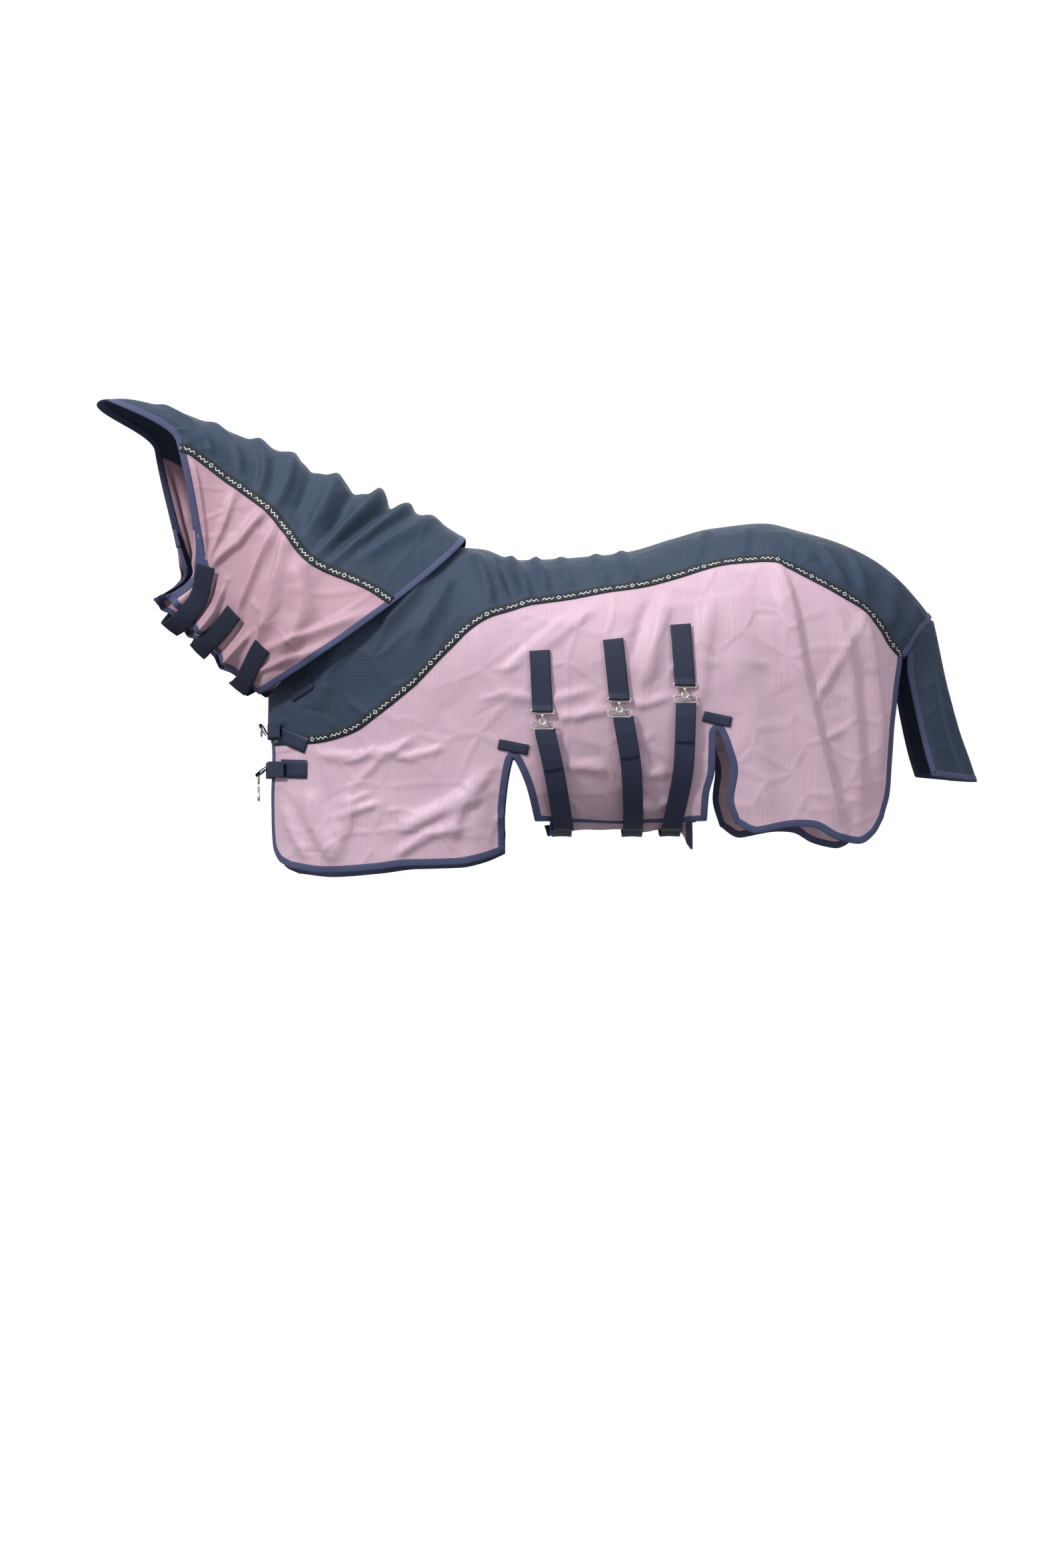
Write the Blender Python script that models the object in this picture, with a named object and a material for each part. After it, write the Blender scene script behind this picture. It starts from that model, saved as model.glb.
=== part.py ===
"""A turnout rug with a neck cover, as worn. Metres, +Z up.

The origin is under the rug at the withers. The neck and chest face -X, the tail +X, and the
left side, which carries the surcingle fasteners, faces -Y."""

import math

import bmesh
import bpy
from mathutils import Matrix, Vector

# Driving dimensions.
CLOTH = 0.003           # thickness of a panel
TRIM_LIFT = 0.006       # underside of tapes, bindings and patches above the panel's inside
STRAP_LIFT = 0.0185     # underside of webbing that crosses the trim
TRIM = 0.002            # thickness of tapes, bindings and patches
WEB = 0.050             # surcingle webbing, width
WEB_THICK = 0.0025
TAPE = 0.022            # black trim tape, width
BINDING = 0.016         # edge binding, width
SEAM_GAP = 0.003        # half the gap between two panels under their tape
WIRE = 0.0020           # radius of the surcingle loops' wire
NECK_LIFT = 0.018       # the neck cover lies this far outside the shoulder

# The body's outline as (x, height) or (x, half width).
SPINE = ((-0.20, 0.060), (-0.13, 0.031), (-0.04, 0.006), (0.02, 0.0), (0.10, -0.026), (0.20, -0.024), (0.30, -0.018),
         (0.40, -0.003), (0.50, 0.026), (0.60, 0.054), (0.73, 0.066), (0.83, 0.045), (0.91, 0.021), (0.97, -0.006),
         (1.03, -0.042), (1.08, -0.082), (1.12, -0.126), (1.156, -0.173))
CREST = ((-0.56, 0.30), (-0.20, 0.060))
HALF_WIDTH = ((-0.530, 0.030), (-0.515, 0.070), (-0.49, 0.108), (-0.45, 0.146), (-0.38, 0.185), (-0.28, 0.218),
              (-0.10, 0.255), (0.10, 0.275), (0.40, 0.290), (0.70, 0.290), (0.85, 0.278), (0.93, 0.256), (0.98, 0.232),
              (1.02, 0.205), (1.06, 0.172), (1.10, 0.142), (1.16, 0.105))
WIDEST = ((-0.53, -0.34), (-0.2, -0.34), (0.1, -0.33), (0.6, -0.31), (0.85, -0.28), (1.0, -0.29), (1.16, -0.36))
BELLY = -0.712
TUCK = ((-0.53, 0.0), (-0.02, 0.0), (0.10, 0.40), (0.20, 0.84), (0.34, 1.0), (0.49, 0.84), (0.59, 0.40),
        (0.72, 0.0), (1.16, 0.0))

# Seams and edges of the left half, as (x, height).
TAPE_LINE = ((-0.496, -0.487), (-0.402, -0.483), (-0.310, -0.460), (-0.245, -0.417), (-0.160, -0.350), (-0.065, -0.254),
             (-0.015, -0.206), (0.052, -0.171), (0.127, -0.149), (0.222, -0.134), (0.354, -0.112), (0.480, -0.087),
             (0.556, -0.064), (0.635, -0.045), (0.710, -0.040), (0.765, -0.053), (0.819, -0.080), (0.906, -0.126),
             (0.970, -0.166), (1.005, -0.206), (1.030, -0.245), (1.060, -0.276))
NECKLINE = ((-0.526, -0.372), (-0.470, -0.312), (-0.392, -0.241), (-0.300, -0.165), (-0.225, -0.095), (-0.168, -0.030),
            (-0.140, 0.014), (-0.128, 0.030))
CHEST_EDGE = ((-0.526, -0.372), (-0.526, -0.430), (-0.514, -0.500), (-0.512, -0.580), (-0.514, -0.670),
              (-0.508, -0.750), (-0.492, -0.786), (-0.462, -0.804))
FRONT_HEM = ((-0.462, -0.804), (-0.375, -0.815), (-0.254, -0.807), (-0.159, -0.796), (-0.049, -0.793),
             (0.018, -0.780), (0.070, -0.762))
SLIT_ONE = ((0.070, -0.762), (0.069, -0.690), (0.076, -0.611), (0.090, -0.535), (0.100, -0.535), (0.134, -0.618),
            (0.150, -0.684))
MIDDLE_HEM = ((0.150, -0.684), (0.25, -0.688), (0.36, -0.690), (0.47, -0.688), (0.573, -0.684))
SLIT_TWO = ((0.573, -0.684), (0.575, -0.623), (0.588, -0.560), (0.590, -0.468), (0.600, -0.468), (0.617, -0.510),
            (0.630, -0.560), (0.622, -0.628), (0.640, -0.690))
REAR_HEM = ((0.640, -0.690), (0.699, -0.714), (0.770, -0.700), (0.830, -0.700), (0.890, -0.730), (0.940, -0.741),
            (0.985, -0.718), (1.010, -0.680))
REAR_EDGE = ((1.010, -0.680), (1.024, -0.620), (1.032, -0.540), (1.036, -0.460), (1.046, -0.380), (1.056, -0.310),
             (1.060, -0.276))
RIGHT_HEM_DROP = 0.022  # the right hem hangs this much lower, because the rug sits turned a little

# The neck cover, drawn with a straight neck and then bent sideways towards the head.
NECK_CREST = ((-0.036, 0.012), (-0.105, 0.052), (-0.190, 0.086), (-0.262, 0.116), (-0.350, 0.150), (-0.440, 0.198),
              (-0.560, 0.252), (-0.680, 0.298), (-0.790, 0.334), (-0.905, 0.352), (-0.965, 0.345))
NECK_THROAT = ((-0.556, -0.356), (-0.572, -0.345), (-0.600, -0.325), (-0.636, -0.292), (-0.668, -0.262),
               (-0.700, -0.230), (-0.732, -0.204), (-0.764, -0.182), (-0.792, -0.160), (-0.822, -0.142),
               (-0.850, -0.130))
NECK_HALF = ((0.0, 0.228), (0.2, 0.190), (0.5, 0.142), (0.8, 0.112), (1.0, 0.106))
NECK_SEAM = ((0.0, 1.28), (0.12, 1.30), (0.25, 1.34), (0.4, 1.20), (0.5, 1.11), (0.8, 1.08), (1.0, 0.98))
BEND_START, BEND_LENGTH, BEND_ANGLE = -0.52, 0.46, math.radians(38)
HOOD_CUT = 0.15         # the cheek edge of the hood is cut back this far from the ears and throat
HEM_BULGE = 0.046       # the neck cover's rear hem is cut in a curve this deep
THROAT_EDGE = 2.80      # the angle at which the neck's side panels end under the throat


def smooth(points):
    """A smooth function through (place, value) points that doesn't overshoot between them."""
    xs, ys = zip(*points)
    rise = [(ys[i + 1] - ys[i]) / (xs[i + 1] - xs[i]) for i in range(len(xs) - 1)]
    slope = [rise[0]]
    for before, after in zip(rise, rise[1:]):
        slope.append(2 * before * after / (before + after) if before * after > 0 else 0.0)
    slope.append(rise[-1])

    def value(x):
        x = min(max(x, xs[0]), xs[-1])
        i = max(k for k in range(len(xs) - 1) if xs[k] <= x or k == 0)
        width = xs[i + 1] - xs[i]
        t = (x - xs[i]) / width
        return ((1 + 2 * t) * (1 - t) ** 2 * ys[i] + t * (1 - t) ** 2 * width * slope[i]
                + t * t * (3 - 2 * t) * ys[i + 1] + t * t * (t - 1) * width * slope[i + 1])
    return value


def along(points, count, sharp=False):
    """A path through the points, as count + 1 points an equal way apart."""
    fine = [Vector(p) for p in points]
    if not sharp:
        ends = [2 * fine[0] - fine[1], *fine, 2 * fine[-1] - fine[-2]]
        fine = []
        for a, b, c, d in zip(ends, ends[1:], ends[2:], ends[3:]):
            fine += [0.5 * (2 * b + (c - a) * t + (2 * a - 5 * b + 4 * c - d) * t ** 2 + (3 * b - a - 3 * c + d) * t ** 3)
                     for t in (0.0, 0.2, 0.4, 0.6, 0.8)]
        fine.append(ends[-2])
    far = [0.0]
    for a, b in zip(fine, fine[1:]):
        far.append(far[-1] + (b - a).length)
    path, i = [], 0
    for k in range(count + 1):
        want = far[-1] * k / count
        while i < len(fine) - 2 and far[i + 1] < want:
            i += 1
        path.append(fine[i].lerp(fine[i + 1], (want - far[i]) / max(far[i + 1] - far[i], 1e-9)))
    return path


spine_height = smooth(SPINE)
crest_height = smooth(CREST)
half_width = smooth(HALF_WIDTH)
widest_height = smooth(WIDEST)
tuck_share = smooth(TUCK)


def top_height(x):
    """The back's top line, which runs on up the neck in front of the withers."""
    return spine_height(x) if x > SPINE[0][0] else crest_height(x)


def body_half(x, z):
    """How far the rug's inside is from the middle plane at this place."""
    wide, top = widest_height(x), top_height(x)
    if z >= wide:
        share = min((z - wide) / (top - wide), 1.0)
        return half_width(x) * (1 - share ** 2.3) ** 0.5
    drop = min((wide - z) / (wide - BELLY), 1.4)
    return half_width(x) * max(1 - tuck_share(x) * min(drop, 0.995) ** 3.2, 0.01) ** 0.5 * (1 - 0.05 * drop)


def on_body(x, z, side=-1, lift=0.0):
    """The point of the rug at this place, on the left (-1) or right (+1), lifted off along its normal."""
    step = 0.002
    here = Vector((x, side * body_half(x, z), z))
    if lift == 0.0:
        return here
    fore = Vector((x + step, side * body_half(x + step, z), z)) - Vector((x - step, side * body_half(x - step, z), z))
    roof = top_height(x) - z
    if roof < 0.004:
        return here + Vector((0, 0, lift))
    up = Vector((x, side * body_half(x, z + step), z + step)) - Vector((x, side * body_half(x, z - step), z - step))
    normal = up.cross(fore).normalized()
    if normal.y * side < 0:
        normal = -normal
    return here + normal * lift


crest_line = along(NECK_CREST, 60)
throat_line = along(NECK_THROAT, 60)
neck_half = smooth(NECK_HALF)
neck_seam = smooth(NECK_SEAM)


def bend(point):
    """Turns the front of a straight neck towards the left, on an arc."""
    ahead = BEND_START - point.x
    if ahead <= 0:
        return point
    radius = BEND_LENGTH / BEND_ANGLE
    turn = min(ahead, 1.2 * BEND_LENGTH) / radius
    middle = Vector((BEND_START - radius * math.sin(turn), -radius * (1 - math.cos(turn)), point.z))
    middle -= Vector((math.cos(turn), math.sin(turn), 0)) * (ahead - turn * radius)
    return middle + Vector((-math.sin(turn), math.cos(turn), 0)) * point.y


def straight_neck(u, angle, side):
    """The neck cover's inside before it is bent: u runs from withers to ears, angle from crest (0) to throat (pi)."""
    place = u * 60
    i = min(int(place), 59)
    crest = crest_line[i].lerp(crest_line[i + 1], place - i)
    throat = throat_line[i].lerp(throat_line[i + 1], place - i)
    middle, arm = (crest + throat) / 2, (crest - throat) / 2
    across = neck_half(u) * math.sin(angle) ** 0.85 if 0 < angle < math.pi else 0.0
    centre = middle + arm * math.cos(angle)
    bulge = Vector((arm.y, -arm.x)).normalized() * HEM_BULGE * (1 - u) ** 4 * math.sin(angle)
    behind_ears = min(max((angle - 0.15) / 0.75, 0), 1)
    over_throat = min(max((math.pi - angle) / 0.9, 0), 1)
    cut = HOOD_CUT * u ** 3 * (3 - 2 * behind_ears) * behind_ears ** 2 * (3 - 2 * over_throat) * over_throat ** 2
    centre += bulge + Vector((cut, 0))
    return Vector((centre.x, side * across, centre.y))


def on_neck(u, angle, side=-1, lift=0.0):
    """The point of the neck cover at u and angle, lifted off along its normal."""
    here = bend(straight_neck(u, angle, side))
    step = 0.01
    low, high = max(u - step, 0.0), min(u + step, 1.0)
    fore = bend(straight_neck(high, angle, side)) - bend(straight_neck(low, angle, side))
    if angle < 0.05 or angle > math.pi - 0.05:
        down = Vector((0, side, 0)) if angle < 1 else Vector((0, -side, 0))
        turned = bend(straight_neck(u, angle, side) + Vector((0, 0.01, 0))) - bend(straight_neck(u, angle, side))
        down = turned.normalized() * down.y
    else:
        down = bend(straight_neck(u, angle + step, side)) - bend(straight_neck(u, angle - step, side))
    normal = (down.cross(fore) * side).normalized()
    return here + normal * lift


def body_share(x, z):
    """The height as a share that runs evenly round the cross-section: 0 on the spine, 1 where it is widest."""
    wide = widest_height(x)
    if z < wide:
        return 1 + (wide - z) / 0.45
    return math.acos(min((z - wide) / (top_height(x) - wide), 1.0)) / (math.pi / 2)


def body_height(x, share):
    wide = widest_height(x)
    if share > 1:
        return wide - (share - 1) * 0.45
    return wide + (top_height(x) - wide) * math.cos(share * math.pi / 2)


def body_place(x, share, side, lift):
    return on_body(x, body_height(x, share), side, lift)


def neck_place(u, angle, side, lift):
    return on_neck(u, angle, side, lift)


def finish_object(name, mesh, colour, roughness=0.85, metallic=0.0, parent=None):
    """Makes the named object, with a material of its own, at the origin or under its joint's empty."""
    material = bpy.data.materials.new(name)
    material.use_nodes = True
    shader = material.node_tree.nodes["Principled BSDF"]
    shader.inputs["Base Color"].default_value = (*colour, 1)
    shader.inputs["Roughness"].default_value = roughness
    shader.inputs["Metallic"].default_value = metallic
    mesh.materials.append(material)
    made = bpy.data.objects.new(name, mesh)
    bpy.context.collection.objects.link(made)
    if parent:
        made.parent = parent
        made.matrix_parent_inverse = Matrix.Translation(-parent.location)
    return made


def solid_from(name, low, high, faces, colour, **finish):
    """A closed solid between two copies of one surface, whose faces point from low to high."""
    count = len(low)
    edges = {(a, b) for face in faces for a, b in zip(face, face[1:] + face[:1])}
    walls = [(b, a, a + count, b + count) for a, b in edges if (b, a) not in edges]
    skin = [tuple(i + count for i in face) for face in faces] + [tuple(reversed(face)) for face in faces]
    mesh = bpy.data.meshes.new(name)
    mesh.from_pydata([*low, *high], [], [*skin, *walls])
    solid = bmesh.new()
    solid.from_mesh(mesh)
    bmesh.ops.triangulate(solid, faces=solid.faces)
    bmesh.ops.recalc_face_normals(solid, faces=solid.faces)
    solid.to_mesh(mesh)
    solid.free()
    return finish_object(name, mesh, colour, **finish)


def cut_outline(outline, across, down):
    """Cuts a flat outline along lines of both kinds, so that it can follow a curved surface."""
    sheet = bmesh.new()
    sheet.faces.new([sheet.verts.new((p[0], p[1], 0)) for p in outline])
    for lines, normal in ((across, (1, 0, 0)), (down, (0, 1, 0))):
        for line in lines:
            everything = [*sheet.verts, *sheet.edges, *sheet.faces]
            at = (line, 0, 0) if normal[0] else (0, line, 0)
            bmesh.ops.bisect_plane(sheet, geom=everything, dist=1e-5, plane_co=at, plane_no=normal)
    sheet.verts.index_update()
    points = [tuple(v.co[:2]) for v in sheet.verts]
    faces = [[v.index for v in face.verts] for face in sheet.faces]
    sheet.free()
    return points, faces


def panel(name, outline, across, down, place, sides, colour, base=0.0, thick=CLOTH, **finish):
    """A cloth panel cut to the outline and laid on the surface: one side, or both joined along the top."""
    points, faces = cut_outline(outline, across, down)
    spots, all_faces, shared = [], [], {}
    for side in sides:
        index = []
        for i, p in enumerate(points):
            if p[1] < 1e-4:
                shared.setdefault(i, len(spots))
                index.append(shared[i])
                if shared[i] == len(spots):
                    spots.append((*p, side))
            else:
                index.append(len(spots))
                spots.append((*p, side))
        all_faces += [[index[i] for i in (face if side < 0 else face[::-1])] for face in faces]
    low = [place(*spot, base) for spot in spots]
    high = [place(*spot, base + thick) for spot in spots]
    return solid_from(name, low, high, all_faces, colour, **finish)


def ribbon(name, path, colour, width, lift=TRIM_LIFT, thick=TRIM, shift=0.0, **finish):
    """A strip along a path of (point, normal) pairs, with its middle moved sideways by shift."""
    low, high = [], []
    for i, (point, normal) in enumerate(path):
        before = (point - path[i - 1][0]).normalized() if i else None
        after = (path[i + 1][0] - point).normalized() if i + 1 < len(path) else None
        heading = ((before or after) + (after or before)).normalized()
        stretch = 1 / max(heading.dot(after or before), 0.55)
        across = normal.cross(heading).normalized() * stretch
        for edge in (shift - width / 2, shift + width / 2):
            low.append(point + across * edge + normal * lift)
            high.append(point + across * edge + normal * (lift + thick))
    faces = [[2 * i, 2 * i + 2, 2 * i + 3, 2 * i + 1] for i in range(len(path) - 1)]
    return solid_from(name, low, high, faces, colour, **finish)


def body_path(points, side=-1):
    """(point, normal) pairs on the rug for points given as (x, height)."""
    return [(on_body(x, z, side), (on_body(x, z, side, 1.0) - on_body(x, z, side)).normalized()) for x, z in points]


def neck_path(points):
    """(point, normal) pairs on the neck cover for points given as (u, angle, side)."""
    return [(on_neck(*p), (on_neck(*p, 1.0) - on_neck(*p)).normalized()) for p in points]


def pivot(name, place):
    """An empty on a joint's axis, which the moving pieces hang from."""
    made = bpy.data.objects.new(name, None)
    made.location = place
    bpy.context.collection.objects.link(made)
    return made


for old in list(bpy.data.objects):
    bpy.data.objects.remove(old)

NAVY, PINK, MESH_NECK = (0.026, 0.040, 0.075), (0.72, 0.48, 0.56), (0.62, 0.38, 0.46)
WEBBING, INDIGO, BLACK, NICKEL = (0.024, 0.030, 0.060), (0.040, 0.046, 0.110), (0.012, 0.013, 0.016), (0.66, 0.66, 0.64)
SIDES = {"left": -1, "right": 1}


def hem_of(side, points):
    """The edge line on this side. The right hem hangs a little lower in front and behind."""
    drop = RIGHT_HEM_DROP if side > 0 else 0.0
    return [(x, z - drop * min(max((-0.60 - z) / 0.10, 0), 1) * (1 - tuck_share(x))) for x, z in points]


def dense(points):
    """The same line with a point in the middle of each stretch longer than 40 mm."""
    line = [points[0]]
    for a, b in zip(points, points[1:]):
        if math.dist(a, b) > 0.04:
            line.append(((a[0] + b[0]) / 2, (a[1] + b[1]) / 2))
        line.append(b)
    return line


def shares(points, shift=0.0):
    return [(x, body_share(x, z + shift)) for x, z in points]


# The back panel, from the chest over both shoulders and the back to the tail.
TAPE_PATH = [tuple(p) for p in along(TAPE_LINE, 30)]
NECK_EDGE = [tuple(p) for p in along(NECKLINE, 12)]
SPINE_XS = [-0.128 + (1.156 + 0.128) * i / 22 for i in range(1, 23)]
TAIL_SEAM = ((1.156, -0.173), (1.135, -0.186), (1.112, -0.207), (1.090, -0.234), (1.072, -0.262))
X_LINES = [-0.50, -0.47, -0.43, -0.38, -0.32, -0.26, -0.20, -0.14, -0.06, 0.02, 0.06, 0.10, 0.14, 0.18, 0.24, 0.31,
           0.38, 0.45, 0.51, 0.55, 0.59, 0.63, 0.68, 0.74, 0.80, 0.86, 0.91, 0.96, 1.00, 1.03, 1.06, 1.09, 1.12]
back_outline = (shares(NECK_EDGE[:-1]) + [(x, 0.0) for x in [NECK_EDGE[-1][0], *SPINE_XS]]
                + shares(TAIL_SEAM[1:]) + shares(TAPE_PATH[::-1], SEAM_GAP) + shares([(-0.514, -0.478)])
                + shares([(-0.526, -0.430)]))
panel("back_panel", back_outline, X_LINES, (0.22, 0.42, 0.6, 0.8, 1.0, 1.2), body_place, (-1, 1), NAVY)

# The two mesh side panels, each with a slit over the fore leg and one over the hind leg.
for word, side in SIDES.items():
    lower = hem_of(side, [*CHEST_EDGE[3:], *FRONT_HEM[1:], *SLIT_ONE[1:], *MIDDLE_HEM[1:], *SLIT_TWO[1:],
                          *REAR_HEM[1:], *REAR_EDGE[1:-1]])
    outline = shares([(1.058, -0.284), *TAPE_PATH[::-1][1:-1], (-0.496, -0.487), (-0.512, -0.492)], -SEAM_GAP)
    panel(f"{word}_side_panel", outline + shares(lower), X_LINES, (0.62, 0.82, 1.0, 1.2, 1.4, 1.6, 1.74, 1.82),
          body_place, (side,), PINK)

# The black trim tape over each seam, and the bindings that close the cut edges.
for word, side in SIDES.items():
    tape = [(x, z) for x, z in TAPE_PATH[:-1]]
    ribbon(f"{word}_trim_tape", body_path(tape, side), BLACK, TAPE, lift=0.0085)
    front = [tuple(p) for p in along(hem_of(side, [*CHEST_EDGE[3:], *FRONT_HEM[1:]]), 22)]
    one = hem_of(side, dense([(0.071, -0.752), *SLIT_ONE[1:-1], (0.149, -0.677)]))
    middle = hem_of(side, [(0.168, -0.685), *MIDDLE_HEM[1:-1], (0.553, -0.685)])
    two = hem_of(side, dense([(0.573, -0.677), *SLIT_TWO[1:-1], (0.639, -0.682)]))
    rear = [tuple(p) for p in along(hem_of(side, [*REAR_HEM, *REAR_EDGE[1:]]), 26)]
    inset = -side * (BINDING / 2 - 0.001)
    for piece, points in (("front_hem", front[:-1]), ("front_slit", one), ("middle_hem", middle), ("rear_slit", two),
                          ("rear_hem", rear[1:-1])):
        lift = TRIM_LIFT + 0.001 if "slit" in piece else TRIM_LIFT
        ribbon(f"{word}_{piece}_binding", body_path(points, side), INDIGO, BINDING, lift=lift, shift=inset)
    chest = [(-0.521, -0.384), (-0.521, -0.430), (-0.515, -0.470)]
    ribbon(f"{word}_chest_binding", body_path(chest, side), INDIGO, 0.010, shift=inset / 2)

# Bar patches that stop the slits from tearing.
for word, side in SIDES.items():
    for place, ends in (("front", ((0.058, -0.497), (0.132, -0.511))), ("rear", ((0.560, -0.429), (0.628, -0.443)))):
        patch = [Vector(ends[0]).lerp(Vector(ends[1]), t / 4) for t in range(5)]
        ribbon(f"{word}_{place}_slit_patch", body_path(patch, side), WEBBING, 0.026, lift=0.0115)

# The tail flap: a navy lap over the dock, wider at its hem than at its seam.
FLAP_MIDDLE = ((1.162, -0.180), (1.181, -0.262), (1.199, -0.352), (1.221, -0.457), (1.247, -0.541), (1.262, -0.590))
FLAP_EDGE = ((1.078, -0.268), (1.076, -0.305), (1.088, -0.380), (1.102, -0.450), (1.118, -0.520), (1.135, -0.577))
flap_middle, flap_edge = along(FLAP_MIDDLE, 20), along(FLAP_EDGE, 20)
DOCK = (1.150, 0.0, -0.190)


def on_flap(down, across, side, lift):
    """The flap's surface: down runs from seam to hem, across from the middle (0) to the edge (1)."""
    i = min(int(down * 20), 19)
    middle = flap_middle[i].lerp(flap_middle[i + 1], down * 20 - i)
    edge = flap_edge[i].lerp(flap_edge[i + 1], down * 20 - i)
    reach = 0.132 + 0.012 * down + lift
    turn = across * math.pi / 2
    flat = middle.lerp(edge, 1 - math.cos(turn))
    return Vector((flat.x + lift * math.cos(turn), side * reach * math.sin(turn), flat.y))


tail_hinge = pivot("tail_flap_hinge", DOCK)
FLAP_ROWS = [i / 7 for i in range(1, 7)]
flap_outline = [(0, 0), (1, 0), (1, 0.25), (1, 0.5), (1, 0.75), (1, 1), (0, 1), (0, 0.75), (0, 0.5), (0, 0.25)]


def flap_place(down, across, side, lift):
    """The panel's order of coordinates: the second is 0 on the middle line."""
    return on_flap(down, across, side, lift)


panel("tail_flap", flap_outline, FLAP_ROWS, (0.25, 0.5, 0.75), flap_place, (-1, 1), NAVY, parent=tail_hinge)
round_edge = ([(d / 8, 0.975, -1) for d in range(9)] + [(0.978, a / 4, -1) for a in (3, 2, 1, 0)]
              + [(0.978, a / 4, 1) for a in (1, 2, 3)] + [(d / 8, 0.975, 1) for d in range(8, -1, -1)])
flap_path = []
for down, across, side in round_edge:
    here = on_flap(down, across, side, 0.0)
    flap_path.append((here, (on_flap(down, across, side, 1.0) - here).normalized()))
ribbon("tail_flap_binding", flap_path, INDIGO, 0.010, lift=0.0065, parent=tail_hinge)

# The belly flap, sewn to the right panel's middle hem, which passes inside the left panel.
FLAP_SECTION = ((0.086, -0.7005), (0.045, -0.709), (0.0, -0.711), (-0.050, -0.702), (-0.095, -0.684), (-0.140, -0.656),
                (-0.175, -0.622), (-0.198, -0.585))
belly_section = along(FLAP_SECTION, 14)


def on_belly(x, share, side, lift):
    """The belly flap's surface: share runs from the right seam to the left edge."""
    i = min(int(share * 14), 13)
    here = belly_section[i].lerp(belly_section[i + 1], share * 14 - i)
    way = (belly_section[i + 1] - belly_section[i]).normalized()
    low = Vector((way.y, -way.x)) * -lift
    return Vector((x, here.x + low.x, here.y + low.y))


belly_outline = [(0.175, 0.001), (0.555, 0.001), (0.548, 0.5), (0.535, 1.0), (0.195, 1.0), (0.182, 0.5)]
panel("belly_flap", belly_outline, (0.24, 0.32, 0.41, 0.49), [i / 10 for i in range(1, 10)], on_belly, (1,), PINK,
      base=0.0)

# Three surcingles: an upper strap sewn to the left panel, and a lower strap under the belly to the right.
UPPER_STRAPS = (((0.160, -0.269), (0.167, -0.411)), ((0.339, -0.242), (0.354, -0.382)),
                ((0.504, -0.206), (0.514, -0.347)))
LOWER_STRAPS = (((0.1735, -0.4660), (0.197, -0.570), (0.217, -0.692)),
                ((0.3650, -0.4370), (0.3845, -0.550), (0.396, -0.692)),
                ((0.5165, -0.4020), (0.514, -0.536), (0.492, -0.692)))
BELLY_PASS = 0.746      # the straps pass this far below the withers under the belly
names = ("front", "middle", "rear")
for word, (top, bottom) in zip(names, UPPER_STRAPS):
    run = [Vector(top).lerp(Vector(bottom), t / 5) for t in range(6)]
    ribbon(f"{word}_upper_strap", body_path(run), WEBBING, WEB, lift=TRIM_LIFT, thick=WEB_THICK)
for word, run in zip(names, LOWER_STRAPS):
    left = body_path([tuple(p) for p in along(run, 9)])
    x = run[-1][0]
    under = []
    for y in (-0.080, -0.040, 0.0, 0.040, 0.080):
        normal = Vector((0, y * 4.8, -1)).normalized()
        under.append((Vector((x, y, STRAP_LIFT - BELLY_PASS + 2.4 * y * y)), normal))
    right = body_path([(x, -0.692), (x, -0.665), (x, -0.640), (x, -0.600), (x, -0.550), (x, -0.500)], 1)
    ribbon(f"{word}_lower_strap", [*left, *under, *right], WEBBING, WEB, lift=STRAP_LIFT, thick=WEB_THICK)

# Each surcingle's clip: a wire loop and hook on the upper strap, and an eye loop on the lower strap.
LOOP_WIDTH, HOOK_LOOP, EYE_LOOP, EYE_DROP = 0.056, 0.010, 0.016, 0.0305


def round_loop(width, height, corner, top):
    """Points of a closed loop with round corners, hanging from its top bar."""
    half = width / 2 - corner
    turns = [(half, top - corner, 90), (-half, top - corner, 180), (-half, top - height + corner, 270),
             (half, top - height + corner, 360)]
    return [Vector((x + corner * math.cos(math.radians(start + step)), 0, z + corner * math.sin(math.radians(start + step))))
            for x, z, start in turns for step in (-90, -60, -30, 0)]


def wire_mesh(points, radius, closed=True, sides=1):
    """A round wire along the points, as a mesh."""
    curve = bpy.data.curves.new("wire", "CURVE")
    curve.dimensions, curve.bevel_depth, curve.bevel_resolution, curve.use_fill_caps = "3D", radius, sides, True
    spline = curve.splines.new("POLY")
    spline.points.add(len(points) - 1)
    for spot, point in zip(spline.points, points):
        spot.co = (*point, 1)
    spline.use_cyclic_u = closed
    helper = bpy.data.objects.new("wire", curve)
    mesh = bpy.data.meshes.new_from_object(helper)
    bpy.data.objects.remove(helper)
    solid = bmesh.new()
    solid.from_mesh(mesh)
    bmesh.ops.remove_doubles(solid, verts=solid.verts, dist=1e-5)
    bmesh.ops.recalc_face_normals(solid, faces=solid.faces)
    solid.to_mesh(mesh)
    solid.free()
    return mesh


def plate_mesh(outline, low, high):
    """A flat outline in x and z, as thick as from low to high along y."""
    solid = bmesh.new()
    face = solid.faces.new([solid.verts.new((x, low, z)) for x, z in outline])
    grown = bmesh.ops.extrude_face_region(solid, geom=[face])
    moved = [v for v in grown["geom"] if isinstance(v, bmesh.types.BMVert)]
    bmesh.ops.translate(solid, verts=moved, vec=(0, high - low, 0))
    bmesh.ops.recalc_face_normals(solid, faces=solid.faces)
    mesh = bpy.data.meshes.new("plate")
    solid.to_mesh(mesh)
    solid.free()
    return mesh


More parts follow.
